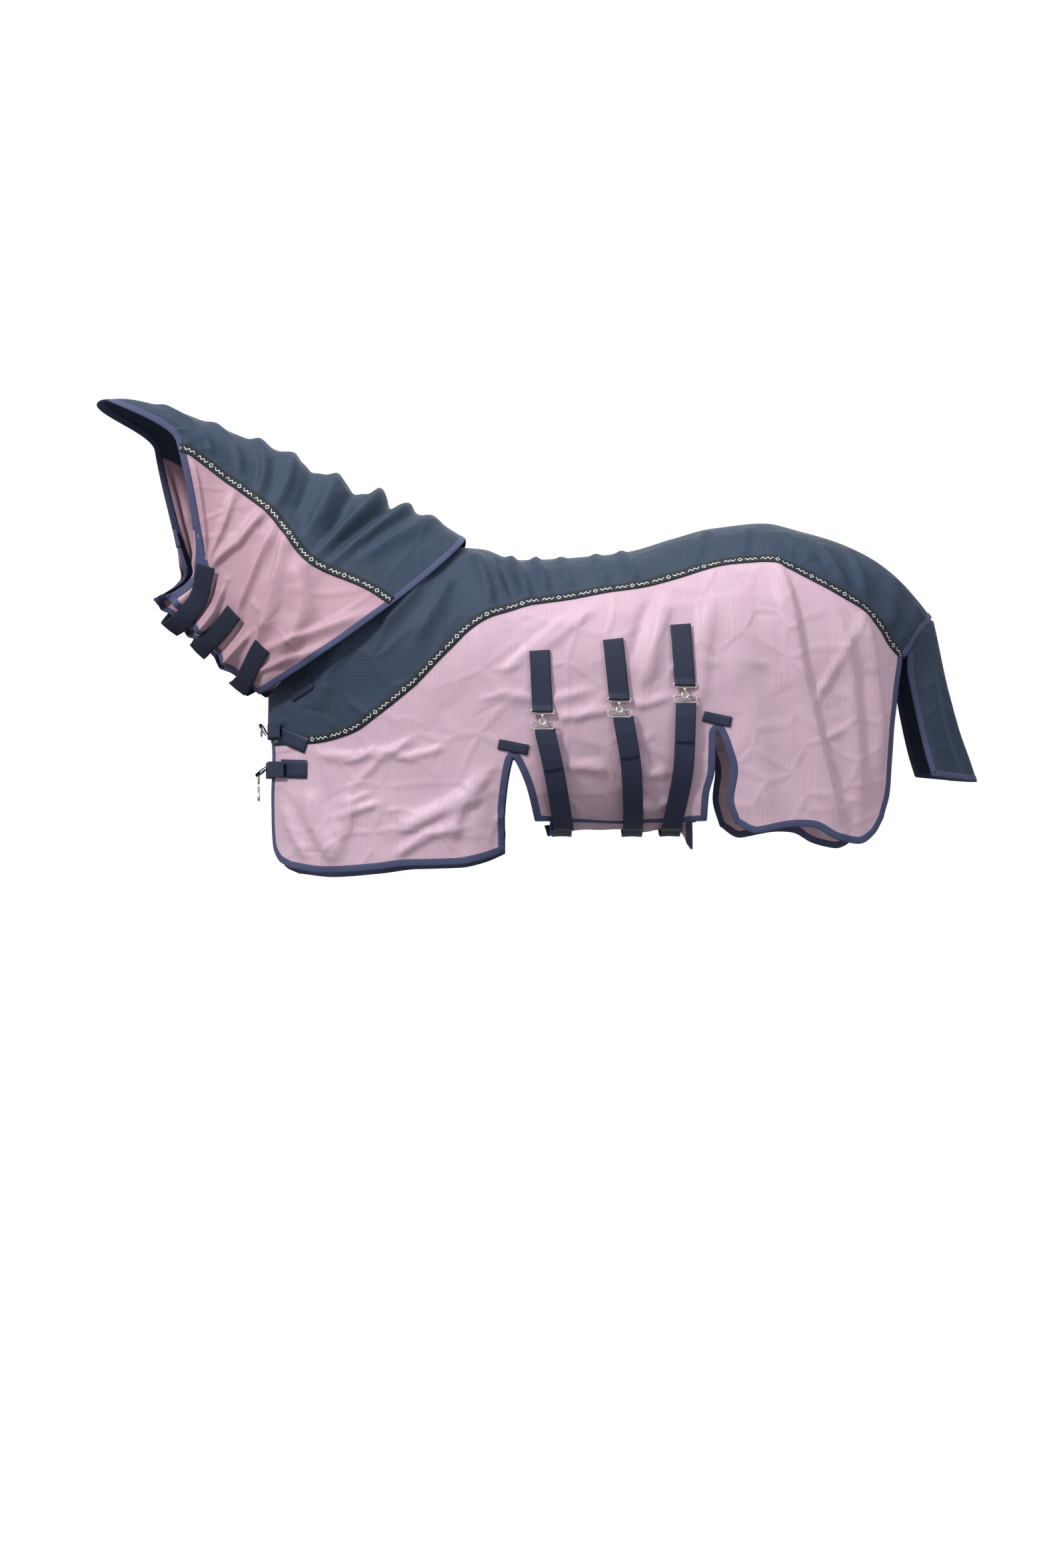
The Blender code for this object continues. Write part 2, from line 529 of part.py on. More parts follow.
def joined(name, meshes):
    """One mesh made of several that overlap, by Boolean unions."""
    base = bpy.data.objects.new(name, meshes[0])
    bpy.context.collection.objects.link(base)
    for mesh in meshes[1:]:
        other = bpy.data.objects.new("piece", mesh)
        bpy.context.collection.objects.link(other)
        union = base.modifiers.new("union", "BOOLEAN")
        union.operation, union.object, union.solver = "UNION", other, "EXACT"
        evaluated = base.evaluated_get(bpy.context.evaluated_depsgraph_get())
        base.data = bpy.data.meshes.new_from_object(evaluated)
        base.modifiers.clear()
        bpy.data.objects.remove(other)
    mesh = base.data
    bpy.data.objects.remove(base)
    return mesh


def arc(cx, cz, radius, start, end, steps):
    return [(cx + radius * math.cos(math.radians(start + (end - start) * i / steps)),
             cz + radius * math.sin(math.radians(start + (end - start) * i / steps))) for i in range(steps + 1)]


hook_stem = [(-0.006, -0.008), (-0.006, -0.017), *arc(0, -0.018, 0.008, 180, 360, 8), (0.006, -0.017), (0.006, -0.008)]
hook_neck = [(-0.0045, -0.0275), (0.0045, -0.0275), (0.0045, -0.0200), (-0.0045, -0.0200)]
hook_nose = [(-0.0055, -0.0255), *arc(0, -0.0345, 0.0055, 180, 360, 6), (0.0055, -0.0255)]
hook_lip = [(-0.0035, -0.0380), (0.0035, -0.0380), (0.0035, -0.0350), (-0.0035, -0.0350)]
hook_meshes = [wire_mesh(round_loop(LOOP_WIDTH, HOOK_LOOP, 0.0045, 0.0), WIRE),
               plate_mesh(hook_stem, -0.0019, 0.0015), plate_mesh(hook_neck, -0.0060, 0.0011),
               plate_mesh(hook_nose, -0.0068, -0.0034), plate_mesh(hook_lip, -0.0060, 0.0010)]
hook_mesh = joined("hook", hook_meshes)
eye_mesh = wire_mesh(round_loop(LOOP_WIDTH, EYE_LOOP, 0.0045, 0.0), WIRE)


def facing(x, z, lift, slant=0.0):
    """Where a clip lies on the left panel: its matrix, with local -Y outwards."""
    here = on_body(x, z, -1)
    normal = (on_body(x, z, -1, 1.0) - here).normalized()
    right = Vector((math.cos(slant), 0, math.sin(slant)))
    right = (right - normal * right.dot(normal)).normalized()
    up = right.cross(-normal)
    matrix = Matrix((right, -normal, up)).transposed().to_4x4()
    return Matrix.Translation(here + normal * lift) @ matrix


def placed(name, mesh, matrix, pivot_name=None):
    made = finish_object(name, mesh.copy(), NICKEL, roughness=0.22, metallic=1.0)
    made.data.transform(matrix)
    if pivot_name:
        axis = pivot(pivot_name, matrix.translation)
        made.parent = axis
        made.matrix_parent_inverse = Matrix.Translation(-axis.location)
    return made


for word, (top, bottom), run in zip(names, UPPER_STRAPS, LOWER_STRAPS):
    hang = facing(bottom[0], bottom[1] - 0.0035, 0.014)
    placed(f"{word}_hook", hook_mesh, hang, f"{word}_hook_hinge")
    eye = hang @ Matrix.Translation((run[0][0] - bottom[0], 0.0, -EYE_DROP))
    placed(f"{word}_eye_loop", eye_mesh, eye)

# Chest closure. On each front edge a square patch carries the upper and the lower fastening.
CHEST_PATCHES = {"upper": ((-0.492, -0.468), (-0.418, -0.500)), "lower": ((-0.486, -0.556), (-0.418, -0.558))}
for word, side in SIDES.items():
    for level, (near, far) in CHEST_PATCHES.items():
        run = [Vector(near).lerp(Vector(far), t / 4) for t in range(5)]
        ribbon(f"{word}_{level}_chest_patch", body_path(run, side), WEBBING, 0.040 if level == "upper" else 0.046,
               lift=0.0125)
    tab = [(-0.462, -0.372), (-0.435, -0.356), (-0.408, -0.340)]
    ribbon(f"{word}_neck_tab", body_path(tab, side), WEBBING, 0.040, lift=TRIM_LIFT)

# A webbing strap closes the lower chest and ends in a ring with a snap hook.
CHEST_FRONT = -0.532
chest_run = [(Vector((CHEST_FRONT, y, -0.562)), Vector((-1, 0, 0))) for y in (0.045, 0.0, -0.045)]
ribbon("chest_strap", chest_run, WEBBING, 0.030, lift=0.010)
ring_points = [Vector((0.0, 0.013 * math.cos(math.radians(t)), 0.013 * math.sin(math.radians(t)))) for t in range(0, 360, 30)]
ring = wire_mesh(ring_points, 0.0018)
RING_AXIS = Vector((CHEST_FRONT - 0.020, -0.040, -0.583))
placed("chest_ring", ring, Matrix.Translation(RING_AXIS), "chest_ring_hinge")
placed("upper_chest_ring", ring, Matrix.Translation((CHEST_FRONT - 0.012, -0.050, -0.462)), "upper_ring_hinge")
snap_body = [(-0.004, 0.000), (-0.005, -0.016), *arc(0.001, -0.028, 0.010, 150, 420, 12), (0.003, -0.016), (0.004, 0.000)]
snap = plate_mesh(snap_body, -0.0025, 0.0025)
snap_place = Matrix.Translation(RING_AXIS + Vector((0.0, 0.0, -0.018))) @ Matrix.Rotation(math.pi / 2, 4, "Z")
placed("snap_hook", snap, snap_place, "snap_hook_swivel")

# The neck cover: a navy crest panel and a mesh panel down each side.
ANGLES = (0.3, 0.65, 1.0, 1.35, 1.7, 2.05, 2.4, 2.65)
US = [i / 14 for i in range(1, 14)]
seam_us = [i / 28 for i in range(29)]
crest_outline = [(u, 0.0) for u in seam_us] + [(u, neck_seam(u) - 0.018) for u in reversed(seam_us)]
panel("neck_crest_panel", crest_outline, US, ANGLES, neck_place, (-1, 1), NAVY, base=NECK_LIFT)
for word, side in SIDES.items():
    outline = [(u, neck_seam(u) + 0.018) for u in seam_us] + [(u, THROAT_EDGE) for u in reversed(seam_us)]
    panel(f"{word}_neck_panel", outline, US, ANGLES, neck_place, (side,), MESH_NECK, base=NECK_LIFT)
    over = NECK_LIFT + TRIM_LIFT + 0.001
    tape = [(u, neck_seam(u), side) for u in seam_us[1:-2]]
    ribbon(f"{word}_neck_trim_tape", neck_path(tape), BLACK, TAPE, lift=over + 0.002)
    edge = [(u, THROAT_EDGE, side) for u in seam_us[1:-1]]
    ribbon(f"{word}_throat_binding", neck_path(edge), INDIGO, 0.012, lift=over, shift=-side * -0.006)

both_ways = [(a, -1) for a in (2.6, 2.2, 1.8, 1.4, 1.0, 0.6, 0.3)] + [(0.0, -1)] + [(a, 1) for a in (0.3, 0.6, 1.0, 1.4, 1.8, 2.2, 2.6)]
for name, u, inward in (("neck_hem_binding", 0.0, -1), ("hood_binding", 1.0, 1)):
    path = neck_path([(u, angle, side) for angle, side in both_ways])
    ribbon(name, path, INDIGO, 0.014, lift=NECK_LIFT + TRIM_LIFT + 0.005, shift=-inward * 0.007)

# Three hook and loop straps, sewn on the right, which cross under the throat and press on to the left.
NECK_STRAPS = {"poll": (0.745, 2.05, 0.735), "throat": (0.42, 2.18, 0.48), "chest": (0.18, 2.22, 0.125)}
for word, (u_top, angle_top, u_low) in NECK_STRAPS.items():
    spots = [(u_top + (u_low - u_top) * t / 3, angle_top + (2.80 - angle_top) * t / 3, -1) for t in range(4)]
    spots += [(u_low, 2.97, -1), (u_low, math.pi, -1), (u_low, 2.97, 1), (u_low, 2.80, 1), (u_low, 2.55, 1)]
    route = neck_path(spots)
    sewn = route[-1]
    hinge = pivot(f"{word}_strap_hinge", sewn[0] + sewn[1] * (NECK_LIFT + 0.012))
    ribbon(f"{word}_neck_strap", route, WEBBING, WEB, lift=NECK_LIFT + 0.012, thick=WEB_THICK, parent=hinge)
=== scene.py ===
"""The looks of a turnout rug with a neck cover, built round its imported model.

The neck and chest face -X, the tail +X, and the left side, which carries the clips, faces -Y."""

import math

import bpy
import mathutils
import numpy as np
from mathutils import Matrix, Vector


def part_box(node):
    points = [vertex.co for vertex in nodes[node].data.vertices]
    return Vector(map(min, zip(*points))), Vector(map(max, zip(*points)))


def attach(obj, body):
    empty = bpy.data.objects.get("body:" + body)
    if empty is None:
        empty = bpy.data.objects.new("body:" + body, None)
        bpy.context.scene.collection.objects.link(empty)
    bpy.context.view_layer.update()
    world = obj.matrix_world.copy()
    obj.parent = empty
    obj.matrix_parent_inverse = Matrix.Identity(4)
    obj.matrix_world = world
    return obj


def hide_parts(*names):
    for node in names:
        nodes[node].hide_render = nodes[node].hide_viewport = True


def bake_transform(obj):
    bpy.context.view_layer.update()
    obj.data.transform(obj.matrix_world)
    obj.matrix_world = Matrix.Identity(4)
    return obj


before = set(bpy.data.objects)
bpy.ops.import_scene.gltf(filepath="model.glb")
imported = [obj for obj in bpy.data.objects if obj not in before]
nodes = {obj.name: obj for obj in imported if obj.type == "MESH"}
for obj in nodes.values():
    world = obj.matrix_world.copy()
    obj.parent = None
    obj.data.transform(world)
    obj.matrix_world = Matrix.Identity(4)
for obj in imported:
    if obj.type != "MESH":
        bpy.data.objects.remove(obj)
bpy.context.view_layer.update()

# The camera stands seven metres off the rug's left side, a little below its back and level.
bpy.ops.object.camera_add(location=(0.1173, -7.0, -0.595), rotation=(math.pi / 2, 0, 0))
camera = bpy.context.object
camera.data.lens = 63.0
bpy.context.scene.camera = camera
bpy.context.scene.view_settings.view_transform = "Standard"

# A plain pale floor under the horse's feet, and soft lights from all sides like a white cove.
GROUND = -1.575
bpy.ops.mesh.primitive_plane_add(size=60, location=(0, 0, GROUND))
floor = bpy.context.object
floor.name = "floor"


def linear(hex_colour):
    """An sRGB hex colour as linear red, green, blue and alpha."""
    parts = [int(hex_colour[i:i + 2], 16) / 255 for i in (1, 3, 5)]
    return (*[p / 12.92 if p <= 0.04045 else ((p + 0.055) / 1.055) ** 2.4 for p in parts], 1.0)


def add(material, kind, inputs=None, **settings):
    """Adds a node to the material, with its settings, and with values or links on its inputs."""
    tree = material.node_tree
    made = tree.nodes.new(kind)
    for key, value in settings.items():
        setattr(made, key, value)
    for key, value in (inputs or {}).items():
        if isinstance(value, bpy.types.NodeSocket):
            tree.links.new(value, made.inputs[key])
        else:
            made.inputs[key].default_value = value
    return made


def new_material(name):
    """An empty node material and its output node."""
    material = bpy.data.materials.new(name)
    material.use_nodes = True
    material.node_tree.nodes.clear()
    return material, add(material, "ShaderNodeOutputMaterial")


def give(material, output, shader):
    material.node_tree.links.new(shader.outputs[0], output.inputs["Surface"])


paper, paper_out = new_material("lit_white_paper")
glow = add(paper, "ShaderNodeEmission", {"Color": linear("#ffffff"), "Strength": 0.55})
matt = add(paper, "ShaderNodeBsdfDiffuse", {"Color": linear("#f0f0f0")})
give(paper, paper_out, add(paper, "ShaderNodeAddShader", {0: glow.outputs[0], 1: matt.outputs[0]}))
bpy.ops.mesh.primitive_plane_add(size=40, location=(0, 9, 0), rotation=(math.pi / 2, 0, 0))
backdrop = bpy.context.object
backdrop.name = "backdrop"
for paper_piece in (floor, backdrop):
    paper_piece.data.materials.append(paper)
    paper_piece.visible_diffuse = paper_piece.visible_glossy = False
for name, place, side, power in (
        ("key_light", (-3.4, -3.6, 3.3), 0.9, 285), ("fill_light", (3.4, -4.6, 1.0), 3.0, 65),
        ("top_light", (0.2, 0.0, 4.2), 2.5, 70), ("back_light", (0.8, 4.6, 2.2), 3.0, 50)):
    towards = mathutils.Vector((0.15, -0.1, -0.35)) - mathutils.Vector(place)
    aim = towards.to_track_quat("-Z", "Y").to_euler()
    bpy.ops.object.light_add(type="AREA", location=place, rotation=aim)
    lamp = bpy.context.object
    lamp.name, lamp.data.size, lamp.data.energy = name, side, power
world = bpy.data.worlds.new("white_room")
bpy.context.scene.world = world
world.use_nodes = True
sky = world.node_tree.nodes
way = sky.new("ShaderNodeSeparateXYZ")
level = sky.new("ShaderNodeMapRange")
level.inputs["From Min"].default_value, level.inputs["From Max"].default_value = -0.7, 0.9
level.inputs["To Min"].default_value, level.inputs["To Max"].default_value = 0.24, 0.66
for start, end in ((sky.new("ShaderNodeTexCoord").outputs["Generated"], way.inputs[0]),
                   (way.outputs[2], level.inputs[0]),
                   (level.outputs[0], sky["Background"].inputs["Strength"])):
    world.node_tree.links.new(start, end)
sky["Background"].inputs["Color"].default_value = (1, 1, 1, 1)

# The shape of the horse under the rug. A rug has no shape of its own: it is cut to lie on the back,
# to hang straight down the shoulders and thighs, and to be drawn in under the belly.
SPINE = ((-0.20, 0.060), (-0.13, 0.031), (-0.04, 0.006), (0.02, 0.0), (0.10, -0.026), (0.20, -0.024),
         (0.30, -0.018), (0.40, -0.003), (0.50, 0.026), (0.60, 0.054), (0.73, 0.066), (0.83, 0.045),
         (0.91, 0.021), (0.97, -0.006), (1.03, -0.042), (1.08, -0.082), (1.12, -0.126), (1.156, -0.173))
CREST = ((-0.56, 0.30), (-0.20, 0.060))
HALF_WIDTH = ((-0.530, 0.030), (-0.515, 0.070), (-0.49, 0.108), (-0.45, 0.146), (-0.38, 0.185),
              (-0.28, 0.218), (-0.10, 0.255), (0.10, 0.275), (0.40, 0.290), (0.70, 0.290),
              (0.85, 0.278), (0.93, 0.256), (0.98, 0.232), (1.02, 0.205), (1.06, 0.172), (1.10, 0.142),
              (1.16, 0.105))
WIDEST = ((-0.53, -0.34), (-0.2, -0.34), (0.1, -0.33), (0.6, -0.31), (0.85, -0.28), (1.0, -0.29),
          (1.16, -0.36))
BELLY = -0.712
TUCK = ((-0.53, 0.0), (-0.02, 0.0), (0.10, 0.40), (0.20, 0.84), (0.34, 1.0), (0.49, 0.84), (0.59, 0.40),
        (0.72, 0.0), (1.16, 0.0))
RIGHT_DROP = 0.022      # the worn rug sits turned, so the right skirts hang this much lower
SKIRT, SKIRT_FADE = -0.60, 0.10
ROUND_DROP = 0.45       # below the widest line this much height counts as one share of the section


def smooth(points):
    """A smooth function through (place, value) points that doesn't overshoot between them."""
    xs, ys = np.array(points, float).T
    rise = np.diff(ys) / np.diff(xs)
    both = rise[1:] * rise[:-1]
    inner = np.where(both > 0, 2 * both / np.where(both > 0, rise[1:] + rise[:-1], 1), 0)
    slope = np.concatenate([rise[:1], inner, rise[-1:]])

    def value(x):
        x = np.clip(x, xs[0], xs[-1])
        i = np.clip(np.searchsorted(xs, x, side="right") - 1, 0, len(xs) - 2)
        width = xs[i + 1] - xs[i]
        t = (x - xs[i]) / width
        return ((1 + 2 * t) * (1 - t) ** 2 * ys[i] + t * (1 - t) ** 2 * width * slope[i]
                + t * t * (3 - 2 * t) * ys[i + 1] + t * t * (t - 1) * width * slope[i + 1])
    return value


spine_height, crest_height, half_width = smooth(SPINE), smooth(CREST), smooth(HALF_WIDTH)
widest_height, tuck_share = smooth(WIDEST), smooth(TUCK)


def top_height(x):
    """The back's top line, which runs on up the neck in front of the withers."""
    return np.where(x > SPINE[0][0], spine_height(x), crest_height(x))


def body_half(x, z):
    """How far the horse's side is from the middle plane at this place."""
    wide, top = widest_height(x), top_height(x)
    share = np.clip((z - wide) / (top - wide), 0, 1)
    upper = (1 - share ** 2.3) ** 0.5
    drop = np.clip((wide - z) / (wide - BELLY), 0, 1.4)
    lower = np.maximum(1 - tuck_share(x) * np.minimum(drop, 0.995) ** 3.2, 0.01) ** 0.5 * (1 - 0.05 * drop)
    return half_width(x) * np.where(z >= wide, upper, lower)


def body_share(x, z):
    """The height as a share that runs evenly round the section: 0 on the spine, 1 where it is widest."""
    wide = widest_height(x)
    share = np.arccos(np.clip((z - wide) / (top_height(x) - wide), 0, 1)) / (math.pi / 2)
    return np.where(z < wide, 1 + (wide - z) / ROUND_DROP, share)


def body_height(x, share):
    wide = widest_height(x)
    round_part = wide + (top_height(x) - wide) * np.cos(np.clip(share, 0, 1) * math.pi / 2)
    return np.where(share > 1, wide - (share - 1) * ROUND_DROP, round_part)


def bare_body(x, share, side):
    """Points on the horse's skin, as rows of x, y, z, with the right skirts a little lower."""
    z = body_height(x, share)
    low = np.clip((SKIRT - z) / SKIRT_FADE, 0, 1) * (1 - tuck_share(x))
    z = z - np.where(np.asarray(side) > 0, RIGHT_DROP, 0) * low
    return np.stack([x + 0 * share, side * body_half(x, z), z], axis=-1)


def lifted(surface, a, b, side, height):
    """Points this height above a surface of two coordinates, along its normal."""
    a, b, side, height = np.broadcast_arrays(np.asarray(a, float), b, side, height)
    step = 0.004
    here = surface(a, b, side)
    fore = surface(a + step, b, side) - surface(a - step, b, side)
    down = surface(a, b + step, side) - surface(a, np.maximum(b - step, 0), side)
    normal = np.cross(fore, down) * np.sign(side)[..., None]
    normal /= np.maximum(np.linalg.norm(normal, axis=-1, keepdims=True), 1e-9)
    return here + normal * np.asarray(height)[..., None]


def line_of(points):
    """A smooth line through the points, as a function of how far along it one is, from 0 to 1."""
    knots = np.array(points, float)
    far = np.concatenate([[0], np.cumsum(np.linalg.norm(np.diff(knots, axis=0), axis=1))])
    if len(knots) < 3:
        return lambda t: np.stack([np.interp(t, far / far[-1], knots[:, k]) for k in (0, 1)], axis=-1)
    curves = [smooth(list(zip(far / far[-1], knots[:, k]))) for k in (0, 1)]
    return lambda t: np.stack([curve(t) for curve in curves], axis=-1)


def two_parts(first, second, share):
    """Two lines end to end: the first up to this share of the way."""
    return lambda t: np.where((t < share)[..., None], first(np.minimum(t / share, 1)),
                              second(np.maximum((t - share) / (1 - share), 0)))


def filled(left, right, top, bottom):
    """The patch between four edge lines. Left and right run down, top and bottom run from left to right."""
    corner = {(i, j): (top, bottom)[j](np.array([float(i)]))[0] for i in (0, 1) for j in (0, 1)}

    def place(u, v):
        across = (1 - u)[:, None] * left(v) + u[:, None] * right(v)
        down = (1 - v)[:, None] * top(u) + v[:, None] * bottom(u)
        flat = sum((u if i else 1 - u)[:, None] * (v if j else 1 - v)[:, None] * corner[i, j]
                   for i in (0, 1) for j in (0, 1))
        return across + down - flat
    return place


def with_share(points):
    """Places given as x and height, as x and share of the body's section."""
    spots = np.array(points, float)
    return np.stack([spots[:, 0], body_share(spots[:, 0], spots[:, 1])], axis=-1)


# The folds of the worn cloth. Each is a line of (x, height) with a width and a height: positive for a
# ridge, negative for a crease. A third number makes one side steeper, as where a pleat falls over.
LEFT_FOLDS = (
    (((0.745, -0.04), (0.777, -0.174), (0.802, -0.328), (0.850, -0.533), (0.905, -0.73)), 0.026, 0.024, 0.85),
    (((0.722, -0.04), (0.748, -0.174), (0.770, -0.328), (0.815, -0.533), (0.868, -0.73)), 0.018, -0.007, 0.0),
    (((0.953, -0.16), (0.985, -0.30), (1.000, -0.45), (0.995, -0.60)), 0.022, 0.009, 0.5),
    (((0.890, -0.16), (0.925, -0.33), (0.940, -0.52), (0.950, -0.70)), 0.020, 0.007, 0.3),
    (((0.965, -0.18), (0.880, -0.31), (0.812, -0.43)), 0.009, 0.005, 0.0),
    (((0.640, -0.09), (0.655, -0.30), (0.690, -0.52), (0.720, -0.69)), 0.040, 0.010, 0.2),
    (((0.590, -0.12), (0.560, -0.28), (0.545, -0.42)), 0.022, 0.007, 0.3),
    (((0.470, -0.13), (0.440, -0.25), (0.405, -0.37)), 0.018, 0.009, -0.4),
    (((0.430, -0.14), (0.400, -0.22), (0.378, -0.31)), 0.012, -0.006, 0.0),
    (((0.300, -0.16), (0.225, -0.22), (0.120, -0.30)), 0.014, 0.005, 0.2),
    (((0.250, -0.17), (0.150, -0.25), (0.060, -0.33)), 0.012, 0.004, 0.0),
    (((0.300, -0.36), (0.180, -0.39), (0.060, -0.37)), 0.013, 0.006, -0.3),
    (((0.340, -0.41), (0.240, -0.43), (0.200, -0.43)), 0.012, 0.007, 0.2),
    (((0.480, -0.38), (0.420, -0.40), (0.380, -0.40)), 0.011, 0.006, 0.2),
    (((0.330, -0.56), (0.270, -0.55), (0.215, -0.55)), 0.014, 0.006, 0.0),
    (((0.480, -0.56), (0.430, -0.57), (0.400, -0.57)), 0.013, 0.005, 0.0),
    (((0.500, -0.63), (0.440, -0.65), (0.400, -0.66)), 0.012, 0.007, 0.0),
    (((0.030, -0.62), (-0.080, -0.66), (-0.200, -0.72)), 0.018, 0.010, 0.4),
    (((0.040, -0.56), (-0.030, -0.64), (-0.060, -0.75)), 0.020, 0.009, 0.4),
    (((-0.020, -0.70), (-0.110, -0.72), (-0.210, -0.78)), 0.013, 0.007, 0.2),
    (((-0.300, -0.62), (-0.320, -0.70), (-0.360, -0.79)), 0.022, 0.009, 0.3),
    (((-0.420, -0.60), (-0.400, -0.70), (-0.340, -0.80)), 0.020, 0.009, -0.3),
    (((-0.480, -0.64), (-0.450, -0.72), (-0.410, -0.79)), 0.014, 0.007, 0.2),
    (((-0.350, -0.68), (-0.290, -0.66), (-0.230, -0.64)), 0.010, 0.005, 0.0),
    (((-0.400, -0.52), (-0.300, -0.53), (-0.200, -0.51)), 0.014, 0.004, 0.0),
    (((-0.140, -0.48), (-0.220, -0.52), (-0.300, -0.60)), 0.011, 0.004, 0.0),
    (((-0.060, -0.50), (-0.160, -0.53), (-0.220, -0.51)), 0.010, 0.004, 0.0))
BACK_FOLDS = (
    (((0.000, -0.015), (0.020, -0.07), (0.045, -0.16)), 0.013, 0.011, 0.4),
    (((0.050, -0.020), (0.075, -0.07), (0.100, -0.15)), 0.012, -0.008, 0.0),
    (((0.075, -0.020), (0.105, -0.07), (0.135, -0.15)), 0.012, 0.011, -0.4),
    (((0.145, -0.022), (0.165, -0.07), (0.180, -0.13)), 0.011, 0.008, 0.3),
    (((0.210, -0.020), (0.225, -0.07), (0.235, -0.12)), 0.012, 0.005, 0.0),
    (((0.300, -0.015), (0.310, -0.06), (0.320, -0.11)), 0.012, 0.005, 0.0),
    (((0.360, -0.010), (0.380, -0.05), (0.400, -0.10)), 0.012, 0.006, 0.0),
    (((0.590, 0.045), (0.560, 0.00), (0.540, -0.06)), 0.014, 0.005, 0.0),
    (((0.690, 0.050), (0.670, 0.01), (0.660, -0.04)), 0.012, 0.004, 0.0),
    (((0.760, 0.040), (0.800, 0.00), (0.850, -0.05)), 0.014, 0.005, 0.0),
    (((0.860, 0.010), (0.890, -0.05), (0.920, -0.12)), 0.013, 0.007, 0.3),
    (((0.930, 0.000), (0.950, -0.06), (0.965, -0.14)), 0.014, 0.009, -0.4),
    (((1.060, -0.080), (1.040, -0.15), (1.025, -0.22)), 0.018, 0.010, 0.4),
    (((1.120, -0.150), (1.080, -0.20), (1.050, -0.25)), 0.014, 0.007, 0.0),
    (((-0.120, -0.06), (-0.160, -0.13), (-0.240, -0.22)), 0.018, 0.007, 0.3),
    (((-0.060, -0.07), (-0.090, -0.15), (-0.150, -0.25)), 0.016, 0.006, 0.0),
    (((-0.320, -0.22), (-0.360, -0.30), (-0.400, -0.42)), 0.020, 0.005, 0.0))
CLOTH_SEED, FOLD_DEPTH, DEEPEST, CLOTH_LIFT = 11, 1.7, 0.019, 0.0015


def fold_lift(a, b, folds, rows=ROUND_DROP):
    """How far the listed folds lift the cloth at these places."""
    lift = np.zeros_like(a)
    for line, width, height, lean in folds:
        spots = np.array(line, float) * (1, rows)
        near, tip, signed = np.full_like(a, 9.0), np.zeros_like(a), np.zeros_like(a)
        total = len(spots) - 1
        for k in range(total):
            start, way = spots[k], spots[k + 1] - spots[k]
            t = np.clip(((a - start[0]) * way[0] + (b * rows - start[1]) * way[1]) / (way @ way), 0, 1)
            off_a, off_b = a - start[0] - way[0] * t, b * rows - start[1] - way[1] * t
            far = np.hypot(off_a, off_b)
            closer = far < near
            near = np.where(closer, far, near)
            tip = np.where(closer, (k + t) / total, tip)
            signed = np.where(closer, far * np.sign(off_a * way[1] - off_b * way[0]), signed)
        spread = width * np.where(signed * lean > 0, 1 - abs(lean) * 0.75, 1 + abs(lean) * 0.5)
        taper = np.clip(np.minimum(tip, 1 - tip) / 0.22, 0, 1)
        lift += height * np.exp(-(near / spread) ** 2) * (0.15 + 0.85 * taper * taper * (3 - 2 * taper))
    return lift


def crumple(seed, count, low, high, height):
    """Short creases from packing, at random places and turns between two corners."""
    random = np.random.default_rng(seed)
    made = []
    for _ in range(count):
        x, z = random.uniform(low, high)
        turn, length = random.uniform(-0.5, 0.9), random.uniform(0.03, 0.11)
        way = np.array([math.cos(turn), math.sin(turn)]) * length / 2
        middle = np.array([x, z]) + random.uniform(-0.012, 0.012, 2)
        made.append(([(x - way[0], z - way[1]), tuple(middle), (x + way[0], z + way[1])],
                     random.uniform(0.004, 0.009), height * random.uniform(-0.6, 1.0), 0.0))
    return made


def shared_folds(folds):
    return [([tuple(p) for p in with_share(line)], *rest) for line, *rest in folds]


right_shift = np.random.default_rng(CLOTH_SEED)
far_folds = [([(x + right_shift.uniform(-0.02, 0.02), z) for x, z in line], *rest)
             for line, *rest in LEFT_FOLDS]
BODY_CREASES = (90, (-0.48, -0.78), (1.02, -0.16), 0.0026)
creases = {-1: shared_folds([*LEFT_FOLDS, *BACK_FOLDS, *crumple(3, *BODY_CREASES)]),
           1: shared_folds([*far_folds, *BACK_FOLDS, *crumple(5, *BODY_CREASES)])}


STRAP_LINES = (((0.160, -0.269), (0.1735, -0.466), (0.197, -0.570), (0.217, -0.692)),
               ((0.339, -0.242), (0.3650, -0.437), (0.3845, -0.550), (0.396, -0.692)),
               ((0.504, -0.206), (0.5165, -0.402), (0.514, -0.536), (0.492, -0.692)))
strap_press = [([tuple(p) for p in with_share(line)], 0.034, 1.0, 0.0) for line in STRAP_LINES]


def pressed(a, b):
    """How free the left side's cloth is to fold: little where a surcingle presses on it."""
    return 1 - 0.75 * np.clip(fold_lift(a, b, strap_press), 0, 1)


def soft_wave(a, b):
    """The slow rise and fall of cloth that lies loose."""
    return 0.0022 * np.sin(17 * a + 3 * np.sin(5 * b + 1)) * np.sin(6 * b + 2 * np.sin(9 * a))


def body_cloth(a, b, side, height=0.0):
    """Points on the worn rug, this height above its inner face."""
    a, b, side = np.broadcast_arrays(np.asarray(a, float), b, side)
    lift = np.zeros_like(a)
    for hand, folds in creases.items():
        lift = np.where(side == hand, fold_lift(a, b, folds), lift)
    calm = np.clip(b / 0.12, 0, 1)
    lift = lift * np.where(side < 0, pressed(a, b), 1)
    lift = DEEPEST * np.tanh(FOLD_DEPTH * lift / DEEPEST)
    return lifted(bare_body, a, b, side, height + CLOTH_LIFT + (lift + soft_wave(a, b)) * (0.3 + 0.7 * calm))


